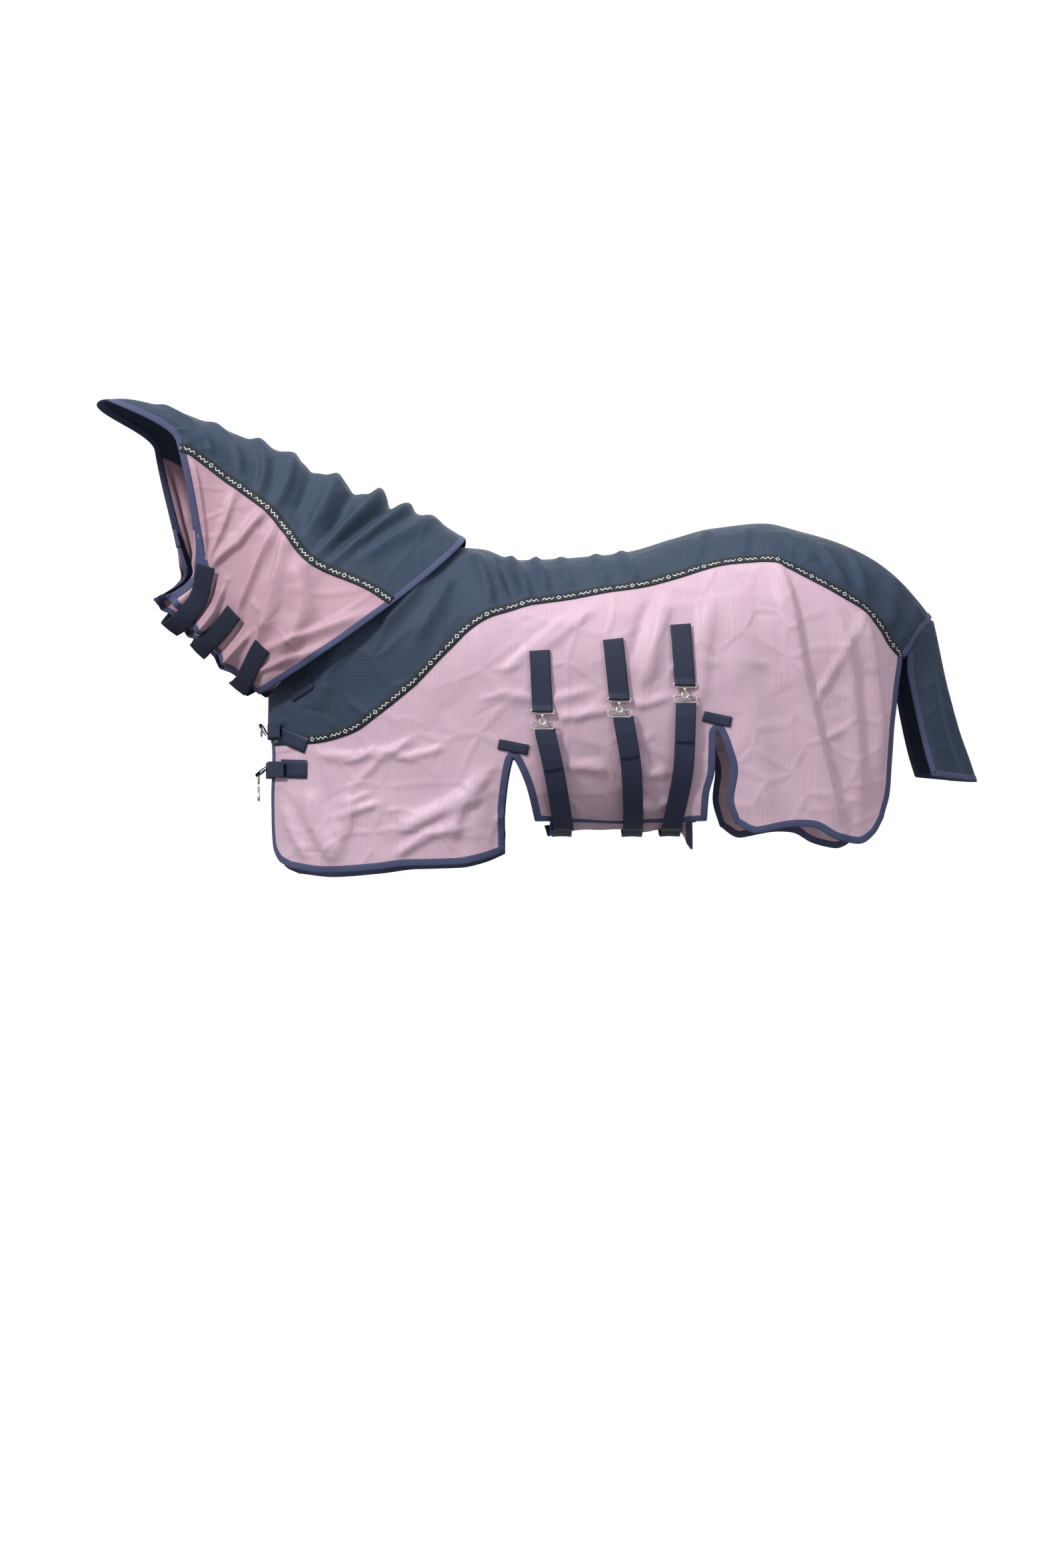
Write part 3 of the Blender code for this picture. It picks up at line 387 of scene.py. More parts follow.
def sheet_of(name, patches, thickness=0.0012):
    """One piece of cloth from patches of (columns, rows, place), welded where their edges meet."""
    parts = []
    for columns, rows, place in patches:
        bpy.ops.object.select_all(action="DESELECT")
        bpy.ops.mesh.primitive_grid_add(x_subdivisions=columns, y_subdivisions=rows, size=1)
        part = bpy.context.object
        count = len(part.data.vertices)
        flat = np.empty(count * 3)
        part.data.vertices.foreach_get("co", flat)
        u, v = flat[0::3] + 0.5, flat[1::3] + 0.5
        points, weave = place(u, v)
        part.data.vertices.foreach_set("co", points.ravel())
        corners = np.empty(len(part.data.loops), int)
        part.data.loops.foreach_get("vertex_index", corners)
        part.data.uv_layers[0].data.foreach_set("uv", weave[corners].ravel())
        part.data.update()
        parts.append(part)
    for part in parts:
        part.select_set(True)
    if len(parts) > 1:
        bpy.ops.object.join()
    piece = bpy.context.object
    piece.name = name
    bpy.ops.object.mode_set(mode="EDIT")
    bpy.ops.mesh.select_all(action="SELECT")
    bpy.ops.mesh.remove_doubles(threshold=0.0001)
    bpy.ops.mesh.normals_make_consistent(inside=False)
    bpy.ops.object.mode_set(mode="OBJECT")
    if thickness:
        outward = sum(f.area * (f.normal.y * f.center.y + f.normal.z * (f.center.z + 0.3))
                      for f in piece.data.polygons)
        if outward < 0:
            piece.data.flip_normals()
        thick = piece.modifiers.new("Solidify", "SOLIDIFY")
        thick.thickness = thickness
        thick.offset = 0
        bpy.ops.object.modifier_apply(modifier=thick.name)
    bpy.ops.object.shade_smooth()
    return piece


def finish_with(piece, material, body, slot, *stands_for):
    """Gives a piece its material, its body to move with and the nodes it replaces. The slot is not used."""
    piece.data.materials.clear()
    piece.data.materials.append(material)
    if body:
        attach(piece, body)
    if stands_for:
        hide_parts(*stands_for)


def halves_met(cloth, a, b, side):
    """Points on a cloth whose left and right halves share one line where b is 0."""
    hands = np.full(len(a), float(side))
    points = cloth(a, b, hands)
    return np.where((b < 1e-6)[:, None], (points + cloth(a, b, -hands)) / 2, points)


def on_sheet(cloth, spots, side):
    """A patch's place function: its spots on a surface, and its weave coordinates in metres."""
    def place(u, v):
        ab = spots(u, v)
        weave = np.stack([ab[:, 0], ab[:, 1] * ROUND_DROP * side], axis=-1)
        return halves_met(cloth, ab[:, 0], ab[:, 1], side), weave
    return place


# The back panel, two fine polyester ripstop halves sewn into one cloth that lies over the spine. Its front
# edge is the neck seam, its sides end at the taped seams and its back edge at the dock.
NECKLINE = ((-0.526, -0.372), (-0.470, -0.312), (-0.392, -0.241), (-0.300, -0.165), (-0.225, -0.095),
            (-0.168, -0.030), (-0.140, 0.014), (-0.128, 0.030))
TAPE_LINE = ((-0.516, -0.488), (-0.496, -0.487), (-0.402, -0.483), (-0.310, -0.460), (-0.245, -0.417),
             (-0.160, -0.350), (-0.065, -0.254), (-0.015, -0.206), (0.052, -0.171), (0.127, -0.149),
             (0.222, -0.134), (0.354, -0.112), (0.480, -0.087), (0.556, -0.064), (0.635, -0.045),
             (0.710, -0.040), (0.765, -0.053), (0.819, -0.080), (0.906, -0.126), (0.970, -0.166),
             (1.005, -0.206), (1.030, -0.245), (1.060, -0.276))
TAIL_SEAM = ((1.156, -0.173), (1.135, -0.186), (1.112, -0.207), (1.090, -0.234), (1.072, -0.262),
             (1.060, -0.276))
neck_seam = line_of(with_share(NECKLINE))
spine_line = line_of([(NECKLINE[-1][0], 0.0), (TAIL_SEAM[0][0], 0.0)])
seam_line = line_of(with_share(TAPE_LINE))
tail_line = line_of(with_share(TAIL_SEAM))
chest_front = line_of(with_share([(-0.526, -0.372), (-0.526, -0.430), (-0.516, -0.488)]))
half_back = filled(chest_front, tail_line, two_parts(neck_seam, spine_line, 0.32), seam_line)
back = sheet_of("back_cloth", [(230, 64, on_sheet(body_cloth, half_back, side)) for side in (-1, 1)])


# The light and shade colours are the cloth's colour as lit and as shaded, for painted light and shade.
def cloth_material(name, colour, light, shade, sheen, rough, draw, crease=0.0):
    """A woven cloth. Draw adds its pattern and gives back how much of it shows, its colour and its height.
    Crease is how strongly a net of packing creases shows. The sheen gives knitted and brushed thread its
    pale edge where it turns away."""
    material, output = new_material(name)
    weave = add(material, "ShaderNodeUVMap", uv_map="UVMap").outputs[0]
    place = add(material, "ShaderNodeTexCoord").outputs["Object"]
    # Painted light and shade: this noise blotches the colour between its lit and shaded copies.
    painted_light_shade_noise = add(material, "ShaderNodeTexNoise", {"Vector": place, "Scale": 7.0, "Detail": 3.0}).outputs[0]
    painted_light_shade_mix = add(material, "ShaderNodeMix", {0: painted_light_shade_noise, 6: linear(shade), 7: linear(light)}, data_type="RGBA")
    base = add(material, "ShaderNodeMix", {0: 0.7, 6: painted_light_shade_mix.outputs[2], 7: linear(colour)}, data_type="RGBA")
    share, drawn, height = draw(material, weave)
    tint = add(material, "ShaderNodeMix", {0: share, 6: base.outputs[2], 7: linear(drawn)}, data_type="RGBA")
    wander = add(material, "ShaderNodeTexNoise", {"Vector": place, "Scale": 3.0, "Detail": 1.0}).outputs[1]
    bent = add(material, "ShaderNodeMix", {0: 0.16, 4: place, 5: wander}, data_type="VECTOR").outputs[1]
    facets = add(material, "ShaderNodeTexVoronoi", {"Vector": bent, "Scale": 11.0},
                 feature="DISTANCE_TO_EDGE").outputs["Distance"]
    ridge = add(material, "ShaderNodeMapRange", {0: facets, 1: 0.0, 2: 0.16, 3: 1.0, 4: 0.0},
                interpolation_type="SMOOTHSTEP").outputs[0]
    ridge = add(material, "ShaderNodeMath", {0: ridge, 1: painted_light_shade_noise}, operation="MULTIPLY").outputs[0]
    pressed_in = add(material, "ShaderNodeBump", {"Height": ridge, "Strength": crease, "Distance": 0.005})
    bump = add(material, "ShaderNodeBump", {"Height": height, "Strength": 0.35, "Distance": 0.0004,
                                            "Normal": pressed_in.outputs[0]})
    give(material, output, add(material, "ShaderNodeBsdfPrincipled", {
        "Base Color": tint.outputs[2], "Normal": bump.outputs[0], "Roughness": rough, "Sheen Weight": sheen,
        "Sheen Roughness": 0.4, "Sheen Tint": linear(light), "Specular IOR Level": 0.3}))
    return material


def lines_of(material, weave, axis, pitch, share):
    """1 on fine lines of this pitch in metres, taking up this share of it, across the weave's U or V."""
    apart = add(material, "ShaderNodeSeparateXYZ", {0: weave}).outputs[axis]
    steps = add(material, "ShaderNodeMath", {0: apart, 1: 1 / pitch}, operation="MULTIPLY").outputs[0]
    phase = add(material, "ShaderNodeMath", {0: steps}, operation="FRACT").outputs[0]
    return add(material, "ShaderNodeMath", {0: phase, 1: share}, operation="LESS_THAN").outputs[0]


def ripstop(material, weave):
    warp, weft = (lines_of(material, weave, axis, 0.005, 0.14) for axis in (0, 1))
    grid = add(material, "ShaderNodeMath", {0: warp, 1: weft}, operation="MAXIMUM").outputs[0]
    faint = add(material, "ShaderNodeMath", {0: grid, 1: 0.16}, operation="MULTIPLY").outputs[0]
    return faint, "#6d7d92", grid


def striped(material, weave):
    line = lines_of(material, weave, 0, 0.0036, 0.36)
    knit = lines_of(material, weave, 1, 0.0016, 0.45)
    apart = add(material, "ShaderNodeMapping", {0: weave})
    apart.inputs["Scale"].default_value = (280.0, 3.0, 1.0)
    streak = add(material, "ShaderNodeTexNoise", {"Vector": apart.outputs[0], "Scale": 1.0, "Detail": 2.0})
    shade = add(material, "ShaderNodeMath", {0: streak.outputs[0], 1: line}, operation="MULTIPLY")
    shade = add(material, "ShaderNodeMath", {0: shade.outputs[0], 1: 1.5}, operation="MULTIPLY")
    height = add(material, "ShaderNodeMath", {0: line, 1: knit}, operation="ADD").outputs[0]
    return shade.outputs[0], "#a9a0bd", height


# The ripstop's dull nylon face with its faint grid, and the fly mesh's silky pink with lilac pinstripes.
navy = cloth_material("navy_ripstop_nylon", "#25344a", "#394b62", "#182232", 0.18, 0.62, ripstop, 0.5)
pink = cloth_material("striped_fly_mesh", "#d8b3c1", "#e9cbd6", "#bd95a3", 0.35, 0.42, striped, 0.6)
finish_with(back, navy, "rug", "navy_ripstop", "back_panel")

# The side panels, polyester fly mesh knitted with pinstripes. Each is sewn under the back panel's edge and
# hangs to the hem in three parts, with a slit at the elbow and one at the stifle.
CHEST_EDGE = ((-0.516, -0.488), (-0.513, -0.500), (-0.512, -0.580), (-0.514, -0.670), (-0.508, -0.750),
              (-0.492, -0.786), (-0.462, -0.804))
FRONT_HEM = ((-0.462, -0.804), (-0.375, -0.815), (-0.254, -0.807), (-0.159, -0.796), (-0.049, -0.793),
             (0.018, -0.780), (0.070, -0.762))
FIRST_SLIT = (((0.070, -0.762), (0.069, -0.690), (0.076, -0.611), (0.090, -0.535), (0.094, -0.528)),
              ((0.094, -0.528), (0.100, -0.535), (0.134, -0.618), (0.150, -0.684)))
MIDDLE_HEM = ((0.150, -0.684), (0.25, -0.688), (0.36, -0.690), (0.47, -0.688), (0.573, -0.684))
SECOND_SLIT = (((0.573, -0.684), (0.575, -0.623), (0.588, -0.560), (0.590, -0.468), (0.595, -0.461)),
               ((0.595, -0.461), (0.600, -0.468), (0.617, -0.510), (0.630, -0.560), (0.622, -0.628),
                (0.640, -0.690)))
REAR_HEM = ((0.640, -0.690), (0.699, -0.714), (0.770, -0.700), (0.830, -0.700), (0.890, -0.730),
            (0.940, -0.741), (0.985, -0.718), (1.010, -0.680))
REAR_EDGE = ((1.010, -0.680), (1.024, -0.620), (1.032, -0.540), (1.036, -0.460), (1.046, -0.380),
             (1.056, -0.310), (1.060, -0.276))


def flat_line(points):
    return line_of(with_share(points))


def cut_line(line, start, end):
    """Part of a line, between two values of x on it."""
    t = np.linspace(0, 1, 800)
    spots = line(t)
    low, high = (float(np.interp(x, spots[:, 0], t)) for x in (start, end))
    return lambda s: line(low + (high - low) * s)


def straight_to(first, last):
    return line_of([tuple(first), tuple(last)])


slit_tops = [with_share([slit[0][-1]])[0] for slit in (FIRST_SLIT, SECOND_SLIT)]
seam_spots = seam_line(np.linspace(0, 1, 800))
seam_at = [np.array([x, np.interp(x, seam_spots[:, 0], seam_spots[:, 1])]) for x in (0.094, 0.595)]
OVER_SLIT = 0.60        # the share of each cut line that is sewn, above its slit
sewn = [straight_to(seam_at[k], slit_tops[k]) for k in (0, 1)]
front_share = filled(flat_line(CHEST_EDGE), two_parts(sewn[0], flat_line(FIRST_SLIT[0][::-1]), OVER_SLIT),
                     cut_line(seam_line, -0.516, 0.094), flat_line(FRONT_HEM))
middle_share = filled(two_parts(sewn[0], flat_line(FIRST_SLIT[1]), OVER_SLIT),
                      two_parts(sewn[1], flat_line(SECOND_SLIT[0][::-1]), OVER_SLIT),
                      cut_line(seam_line, 0.094, 0.595), flat_line(MIDDLE_HEM))
rear_share = filled(two_parts(sewn[1], flat_line(SECOND_SLIT[1]), OVER_SLIT), flat_line(REAR_EDGE[::-1]),
                    cut_line(seam_line, 0.595, 1.060), flat_line(REAR_HEM))
HEMS = {-1: "left", 1: "right"}
side_cloth = {}
for side, hand in HEMS.items():
    patches = [(columns, 90, on_sheet(body_cloth, share, side))
               for columns, share in ((84, front_share), (70, middle_share), (64, rear_share))]
    side_cloth[side] = sheet_of(hand + "_side_cloth", patches)
    finish_with(side_cloth[side], pink, "rug", "striped_mesh", hand + "_side_panel")


# The edge bindings, a woven polyester braid folded over the cut edge and stitched through. One runs from
# the neck down the chest, along the hem, up and down both slits, and up under the tail.
BRAID, NARROW_BRAID, OVER_EDGE = 0.016, 0.014, 0.0016


def inward(surface, ab, side, towards):
    """For each spot on a line, the step in the surface's two coordinates that is one metre across it."""
    step = 0.002
    a, b = ab[:, 0], ab[:, 1]
    hands = np.full(len(a), float(side))
    da = (surface(a + step, b, hands) - surface(a - step, b, hands)) / (2 * step)
    db = (surface(a, b + step, hands) - surface(a, b - step, hands)) / (2 * step)
    way = np.gradient(ab, axis=0)
    ahead = da * way[:, :1] + db * way[:, 1:]
    ahead /= np.linalg.norm(ahead, axis=1, keepdims=True)
    across = np.cross(np.cross(da, db), ahead)
    across /= np.linalg.norm(across, axis=1, keepdims=True)
    aa, bb, mix = (da * da).sum(1), (db * db).sum(1), (da * db).sum(1)
    ga, gb = (across * da).sum(1), (across * db).sum(1)
    whole = aa * bb - mix * mix
    steps = np.stack([(bb * ga - mix * gb) / whole, (aa * gb - mix * ga) / whole], axis=-1)
    middle = len(a) // 2
    if (steps[middle] * (np.array(towards) - ab[middle])).sum() < 0:
        steps = -steps
    return steps


def even(ab, surface, side, pitch):
    """Spots along a line of surface coordinates, this far apart in metres."""
    points = surface(ab[:, 0], ab[:, 1], np.full(len(ab), float(side)))
    far = np.concatenate([[0], np.cumsum(np.linalg.norm(np.diff(points, axis=0), axis=1))])
    t = np.linspace(0, far[-1], max(4, int(far[-1] / pitch)))
    return np.stack([np.interp(t, far, ab[:, k]) for k in (0, 1)], axis=-1), t


def swept(name, section, far, spot):
    """A closed strip with this section. Spot gives the point of a section's shape at each step along."""
    loop = np.array([*section, section[0]], float)
    middle = (loop[:, 1].min() + loop[:, 1].max()) / 2
    lengths = np.concatenate([[0], np.cumsum(np.linalg.norm(np.diff(loop, axis=0), axis=1))])
    last = len(far) - 1

    def place(u, v):
        i = np.rint(u * last).astype(int)
        j = np.rint(v * (len(loop) - 1)).astype(int)
        ends = ((i == 0) | (i == last))[:, None]
        flat = np.stack([loop[j, 0], np.full(len(j), middle)], axis=-1)
        return spot(i, np.where(ends, flat, loop[j])), np.stack([far[i], lengths[j]], axis=-1)
    return sheet_of(name, [(last, len(loop) - 1, place)], thickness=0)


def band(name, cloth, bare, ab, side, section, towards, pitch=0.005):
    """A strip that lies along a line on the cloth. Its section is a closed loop of (inward, height)."""
    ab, far = even(ab, bare, side, pitch)
    steps = inward(bare, ab, side, towards)

    def spot(i, shape):
        at = ab[i] + steps[i] * shape[:, :1]
        return cloth(at[:, 0], at[:, 1], np.full(len(at), float(side)), shape[:, 1])
    return swept(name, section, far, spot)


def folded_over(width, thick=0.0026):
    """The section of a braid folded over an edge, with rounded corners."""
    half = thick / 2
    return [(-OVER_EDGE, 0), (-OVER_EDGE * 0.6, half * 1.1), (0.002, half * 1.45),
            (width - 0.003, half * 1.45),
            (width, half * 0.9), (width, -half * 0.9), (width - 0.003, -half * 1.3), (0.002, -half * 1.3),
            (-OVER_EDGE * 0.6, -half)]


def plain_weave(material, weave):
    ribs = lines_of(material, weave, 0, 0.0012, 0.5)
    edge = lines_of(material, weave, 1, 0.0024, 0.2)
    both = add(material, "ShaderNodeMath", {0: ribs, 1: edge}, operation="ADD").outputs[0]
    faint = add(material, "ShaderNodeMath", {0: both, 1: 0.07}, operation="MULTIPLY").outputs[0]
    return faint, "#8288a8", both


def whole_line(*lines):
    """Several lines of (x, height) end to end, each smoothed, as spots with shares."""
    return np.concatenate([flat_line(line)(np.linspace(0, 1, 160)) for line in lines])


# The braid's indigo is a little lighter than the webbing, with ribs across it.
indigo = cloth_material("edge_braid", "#3e4566", "#585f85", "#2a2f49", 0.5, 0.6, plain_weave)
for side, hand in HEMS.items():
    outline = whole_line(((-0.526, -0.372), (-0.526, -0.430), *CHEST_EDGE[:1]), CHEST_EDGE, FRONT_HEM,
                         *FIRST_SLIT, MIDDLE_HEM, *SECOND_SLIT, REAR_HEM, REAR_EDGE)
    edging = band(hand + "_edge_braid", body_cloth, bare_body, outline, side, folded_over(BRAID), (0.3, 1.0))
    finish_with(edging, indigo, "rug", "edge_binding", *[
        f"{hand}_{part}_binding" for part in
        ("chest", "front_hem", "front_slit", "middle_hem", "rear_slit", "rear_hem")])

# The trim tapes, a black woven polyester ribbon with a white pattern. Each is sewn flat over the seam
# between the back and a side, from the chest to the dock.
TAPE, TAPE_LOW, TAPE_RISE, MOTIF, RIB_PITCH = 0.023, 0.0010, 0.0030, 0.092, 0.0009
RING_OUT, RING_IN, ZIGZAG, ZIGZAG_HALF, RUN_START, RUN_END = 0.0062, 0.0042, 0.012, 0.0011, 0.0115, 0.0415


def flat_strip(width, low, high, steps=4):
    """The section of a flat strip: its underside at low, its face at high."""
    across = np.linspace(-width / 2, width / 2, steps + 1)
    return ([(-width / 2, low), (-width / 2 + 0.0004, high)] + [(x, high) for x in across[1:-1]]
            + [(width / 2 - 0.0004, high), (width / 2, low)] + [(x, low) for x in across[-2:0:-1]])


def woven_motif(material, weave):
    """Diamond outlines between runs of zigzag, in white thread."""
    apart = add(material, "ShaderNodeSeparateXYZ", {0: weave})
    made = {"length": apart.outputs[0], "width": apart.outputs[1],
            "ribs": lines_of(material, weave, 0, RIB_PITCH, 0.5)}
    for name, operation, first, second in (
            ("count", "MULTIPLY", "length", 1 / MOTIF), ("cell", "FLOORED_MODULO", "count", 1.0),
            ("centred", "SUBTRACT", "cell", 0.5), ("signed", "MULTIPLY", "centred", MOTIF),
            ("along", "ABSOLUTE", "signed", 1.0), ("off", "SUBTRACT", "width", TAPE_RISE / 2 + TAPE / 2),
            ("off_size", "ABSOLUTE", "off", 1.0), ("reach", "ADD", "along", "off_size"),
            ("in_ring", "LESS_THAN", "reach", RING_OUT), ("past_hole", "GREATER_THAN", "reach", RING_IN),
            ("ring", "MULTIPLY", "in_ring", "past_hole"),
            ("step", "FLOORED_MODULO", "along", ZIGZAG), ("slope", "SUBTRACT", "step", ZIGZAG / 2),
            ("wave", "ABSOLUTE", "slope", 1.0), ("level", "SUBTRACT", "wave", ZIGZAG / 4),
            ("gap", "SUBTRACT", "level", "off"), ("gap_size", "ABSOLUTE", "gap", 1.0),
            ("from_ring", "GREATER_THAN", "along", RUN_START), ("to_end", "LESS_THAN", "along", RUN_END),
            ("run", "MULTIPLY", "from_ring", "to_end"), ("line", "LESS_THAN", "gap_size", ZIGZAG_HALF),
            ("zigzag", "MULTIPLY", "run", "line"), ("white", "MAXIMUM", "ring", "zigzag"),
            ("height", "ADD", "white", "ribs")):
        values = {0: made[first], 1: made.get(second, second)}
        made[name] = add(material, "ShaderNodeMath", values, operation=operation).outputs[0]
    return made["white"], "#e9edf0", made["height"]


# The ribbon is a smooth satin weave, so its black stays dark and its white thread stands out.
ribbon = cloth_material("woven_trim_ribbon", "#1c2126", "#2c333a", "#12161a", 0.25, 0.55, woven_motif)
for side, hand in HEMS.items():
    spots = seam_line(np.linspace(0.004, 0.996, 400))
    tape = band(hand + "_trim_ribbon", body_cloth, bare_body, spots, side,
                flat_strip(TAPE, TAPE_LOW, TAPE_RISE), (0.3, 0.0))
    finish_with(tape, ribbon, "rug", "trim_tape", hand + "_trim_tape")

# The dock seam, where the tail flap is sewn under the rug's end. The cut edge is bound with the same
# indigo braid as the hem.
for side, hand in HEMS.items():
    spots = tail_line(np.linspace(0.0, 1.0, 80))
    dock_edge = band(hand + "_dock_braid", body_cloth, bare_body, spots, side,
                     flat_strip(BRAID, 0.0004, 0.0030), (0.9, 0.0))
    finish_with(dock_edge, indigo, "rug", "edge_binding")

# The reinforcing patches, folded nylon webbing sewn across the top of each slit and at the chest. They
# spread the pull of a leg or a strap, and are bar tacked at the ends.
TACKS = {"front_slit": ((0.058, -0.497), (0.132, -0.511), 0.026, 0.0052),
         "rear_slit": ((0.560, -0.429), (0.628, -0.443), 0.026, 0.0052),
         "upper_chest": ((-0.492, -0.468), (-0.418, -0.500), 0.040, 0.0056),
         "lower_chest": ((-0.486, -0.556), (-0.418, -0.558), 0.046, 0.0056)}
TACK_LOW = 0.0028


def webbing_weave(material, weave):
    """A fine herringbone of ribs."""
    slant = add(material, "ShaderNodeMapping", {0: weave})
    slant.inputs["Rotation"].default_value = (0, 0, math.radians(38))
    ribs = lines_of(material, slant.outputs[0], 0, 0.0015, 0.5)
    faint = add(material, "ShaderNodeMath", {0: ribs, 1: 0.10}, operation="MULTIPLY").outputs[0]
    return faint, "#5a6287", ribs


# Nylon webbing: very dark navy, flat, with a slight gloss along the ribs.
webbing = cloth_material("navy_webbing", "#22293f", "#353d58", "#161b2b", 0.25, 0.5, webbing_weave)
for side, hand in HEMS.items():
    for spot, (first, last, width, high) in TACKS.items():
        first, last = with_share([first, last])
        spots = first + (last - first) * np.linspace(0, 1, 12)[:, None]
        patch = band(f"{hand}_{spot}_tack", body_cloth, bare_body, spots, side,
                     flat_strip(width, TACK_LOW, high), (0.3, 0.0))
        finish_with(patch, webbing, "rug", "webbing", f"{hand}_{spot}_patch")


# Three surcingles of 50 mm webbing. Each upper strap is sewn to the left panel and turned round the top
# bar of its clip. Each lower strap is turned round the eye's bar, sewn back on itself, and passes under
# the belly to the right panel.
WEB, WEB_THICK, WIRE, LOWER_LIFT, BELLY_PASS = 0.050, 0.0022, 0.0020, 0.0185, 0.746
UPPER_STRAPS = {"front": ((0.160, -0.269), (0.167, -0.411)), "middle": ((0.339, -0.242), (0.354, -0.382)),
                "rear": ((0.504, -0.206), (0.514, -0.347))}
LOWER_STRAPS = {"front": ((0.1735, -0.4660), (0.197, -0.570), (0.217, -0.692)),
                "middle": ((0.3650, -0.4370), (0.3845, -0.550), (0.396, -0.692)),
                "rear": ((0.5165, -0.4020), (0.514, -0.536), (0.492, -0.692))}


def run_through(points, pitch):
    """Points this far apart on a smooth curve, and how far along it each is."""
    knots = np.array(points, float)
    far = np.concatenate([[0], np.cumsum(np.linalg.norm(np.diff(knots, axis=0), axis=1))])
    curves = [smooth(list(zip(far, knots[:, k]))) for k in range(3)]
    t = np.linspace(0, far[-1], max(4, int(far[-1] / pitch)))
    return np.stack([curve(t) for curve in curves], axis=-1), t


def webbing_strip(name, points, across, width=WEB, thick=WEB_THICK, pitch=0.003, rise=None):
    """A flat strip along a line in space. Across is its width's direction, or one for each point."""
    spots, far = run_through(points, pitch)
    ahead = np.gradient(spots, axis=0)
    ahead /= np.linalg.norm(ahead, axis=1, keepdims=True)
    if np.ndim(across) == 2:
        place = np.linspace(0, len(across) - 1, len(spots))
        turns = np.array(across)
        across = np.stack([np.interp(place, range(len(turns)), turns[:, k]) for k in range(3)], axis=-1)
    out = np.cross(np.broadcast_to(across, ahead.shape), ahead)
    out /= np.linalg.norm(out, axis=1, keepdims=True)
    wide = np.cross(ahead, out)

    def spot(i, shape):
        lift = shape[:, 1] + (rise(far[i], shape[:, 0]) if rise else 0)
        return spots[i] + wide[i] * shape[:, :1] + out[i] * lift[:, None]
    return swept(name, flat_strip(width, -thick / 2, thick / 2, 8), far, spot)


def on_body(x, z, side, height):
    """One point this high above the horse's side."""
    return lifted(bare_body, np.array([x]), body_share(np.array([x]), np.array([z])), float(side), height)[0]


def turned_round(bar, up, out, start, end, steps=7):
    """Points that turn round a bar's centre, from one angle to another, 0 being out and 90 up."""
    radius = WIRE + WEB_THICK / 2 + 0.0003
    return [bar + radius * (math.cos(t) * out + math.sin(t) * up)
            for t in np.radians(np.linspace(start, end, steps))]


OUT, UP, ACROSS = np.array([0.0, -1.0, 0.0]), np.array([0.0, 0.0, 1.0]), np.array([1.0, 0.0, 0.0])


def slack(far, off):
    """Small bends across the webbing, where it hangs a little loose."""
    return 0.0010 * np.sin(38 * far + 1.3) + 0.0006 * np.cos(120 * off)


def bar_of(name, top):
    """The middle of a wire loop's top or bottom bar."""
    spots = np.array([v.co for v in nodes[name].data.vertices])
    edge = spots[:, 2].max() if top else spots[:, 2].min()
    bar = spots[np.abs(spots[:, 2] - edge) < 2.2 * WIRE]
    return (bar.max(axis=0) + bar.min(axis=0)) / 2


bars = {}
for word in UPPER_STRAPS:
    bars[word] = bar = bar_of(f"{word}_hook", True)
    top, bottom = (np.array(p) for p in UPPER_STRAPS[word])
    upper = [on_body(*(top + (bottom - top) * t), -1, 0.0105) for t in np.linspace(0, 0.93, 8)]
    under = [on_body(*(top + (bottom - top) * t), -1, 0.0062) for t in (0.93, 0.86, 0.78)]
    bar_wrap = turned_round(bar, UP, OUT, 0, -180)
    piece = webbing_strip(f"{word}_upper_webbing", [*upper, *bar_wrap, *under], ACROSS)
    finish_with(piece, webbing, "rug", "webbing", f"{word}_upper_strap")
    bar = bar_of(f"{word}_eye_loop", False)
    line = smooth([(z, x) for x, z in sorted(LOWER_STRAPS[word], key=lambda p: p[1])])
    start, x_low = LOWER_STRAPS[word][0][1], LOWER_STRAPS[word][-1][0]

    def left_at(z, lift):
        return on_body(float(line(np.array([z]))[0]), z, -1, lift)
    turned_back = [left_at(start - d, LOWER_LIFT + 0.0026) for d in (0.088, 0.066, 0.044, 0.022)]
    inner = [left_at(start - d, LOWER_LIFT - 0.0008) for d in (0.010, 0.022, 0.044, 0.07, 0.10, 0.14, 0.18)]
    inner += [left_at(z, LOWER_LIFT) for z in (-0.668, -0.692)]
    belly = [np.array([x_low, y, LOWER_LIFT - BELLY_PASS + 2.4 * y * y]) for y in np.linspace(-0.08, 0.08, 7)]
    far_side = [on_body(x_low, z, 1, LOWER_LIFT) for z in (-0.692, -0.665, -0.640, -0.600, -0.550, -0.505)]
    piece = webbing_strip(f"{word}_lower_webbing", [*turned_back, *turned_round(bar, UP, OUT, 0, 180),
                                                    *inner, *belly, *far_side], ACROSS, rise=slack)
    finish_with(piece, webbing, "rug", "webbing", f"{word}_lower_strap")

# The neck cover's shape over a horse's neck, which is turned a little to the left. U runs from the withers
# to the ears, and the angle from the crest, 0, down to the throat, pi.
NECK_CREST = ((-0.036, 0.012), (-0.105, 0.052), (-0.190, 0.086), (-0.262, 0.116), (-0.350, 0.150),
              (-0.440, 0.198), (-0.560, 0.252), (-0.680, 0.298), (-0.790, 0.334), (-0.905, 0.352),
              (-0.965, 0.345))
NECK_THROAT = ((-0.556, -0.356), (-0.572, -0.345), (-0.600, -0.325), (-0.636, -0.292), (-0.668, -0.262),
               (-0.700, -0.230), (-0.732, -0.204), (-0.764, -0.182), (-0.792, -0.160), (-0.822, -0.142),
               (-0.850, -0.130))
neck_half = smooth(((0.0, 0.228), (0.2, 0.190), (0.5, 0.142), (0.8, 0.112), (1.0, 0.106)))
tape_angle = smooth(((0.0, 1.28), (0.12, 1.30), (0.25, 1.34), (0.4, 1.20), (0.5, 1.11), (0.8, 1.08),
                     (1.0, 0.98)))
crest_line, throat_line = line_of(NECK_CREST), line_of(NECK_THROAT)
BEND_START, BEND_LENGTH, BEND_ANGLE = -0.52, 0.46, math.radians(38)
HOOD_CUT, HEM_BULGE, THROAT_EDGE, NECK_LIFT = 0.15, 0.046, 2.80, 0.018
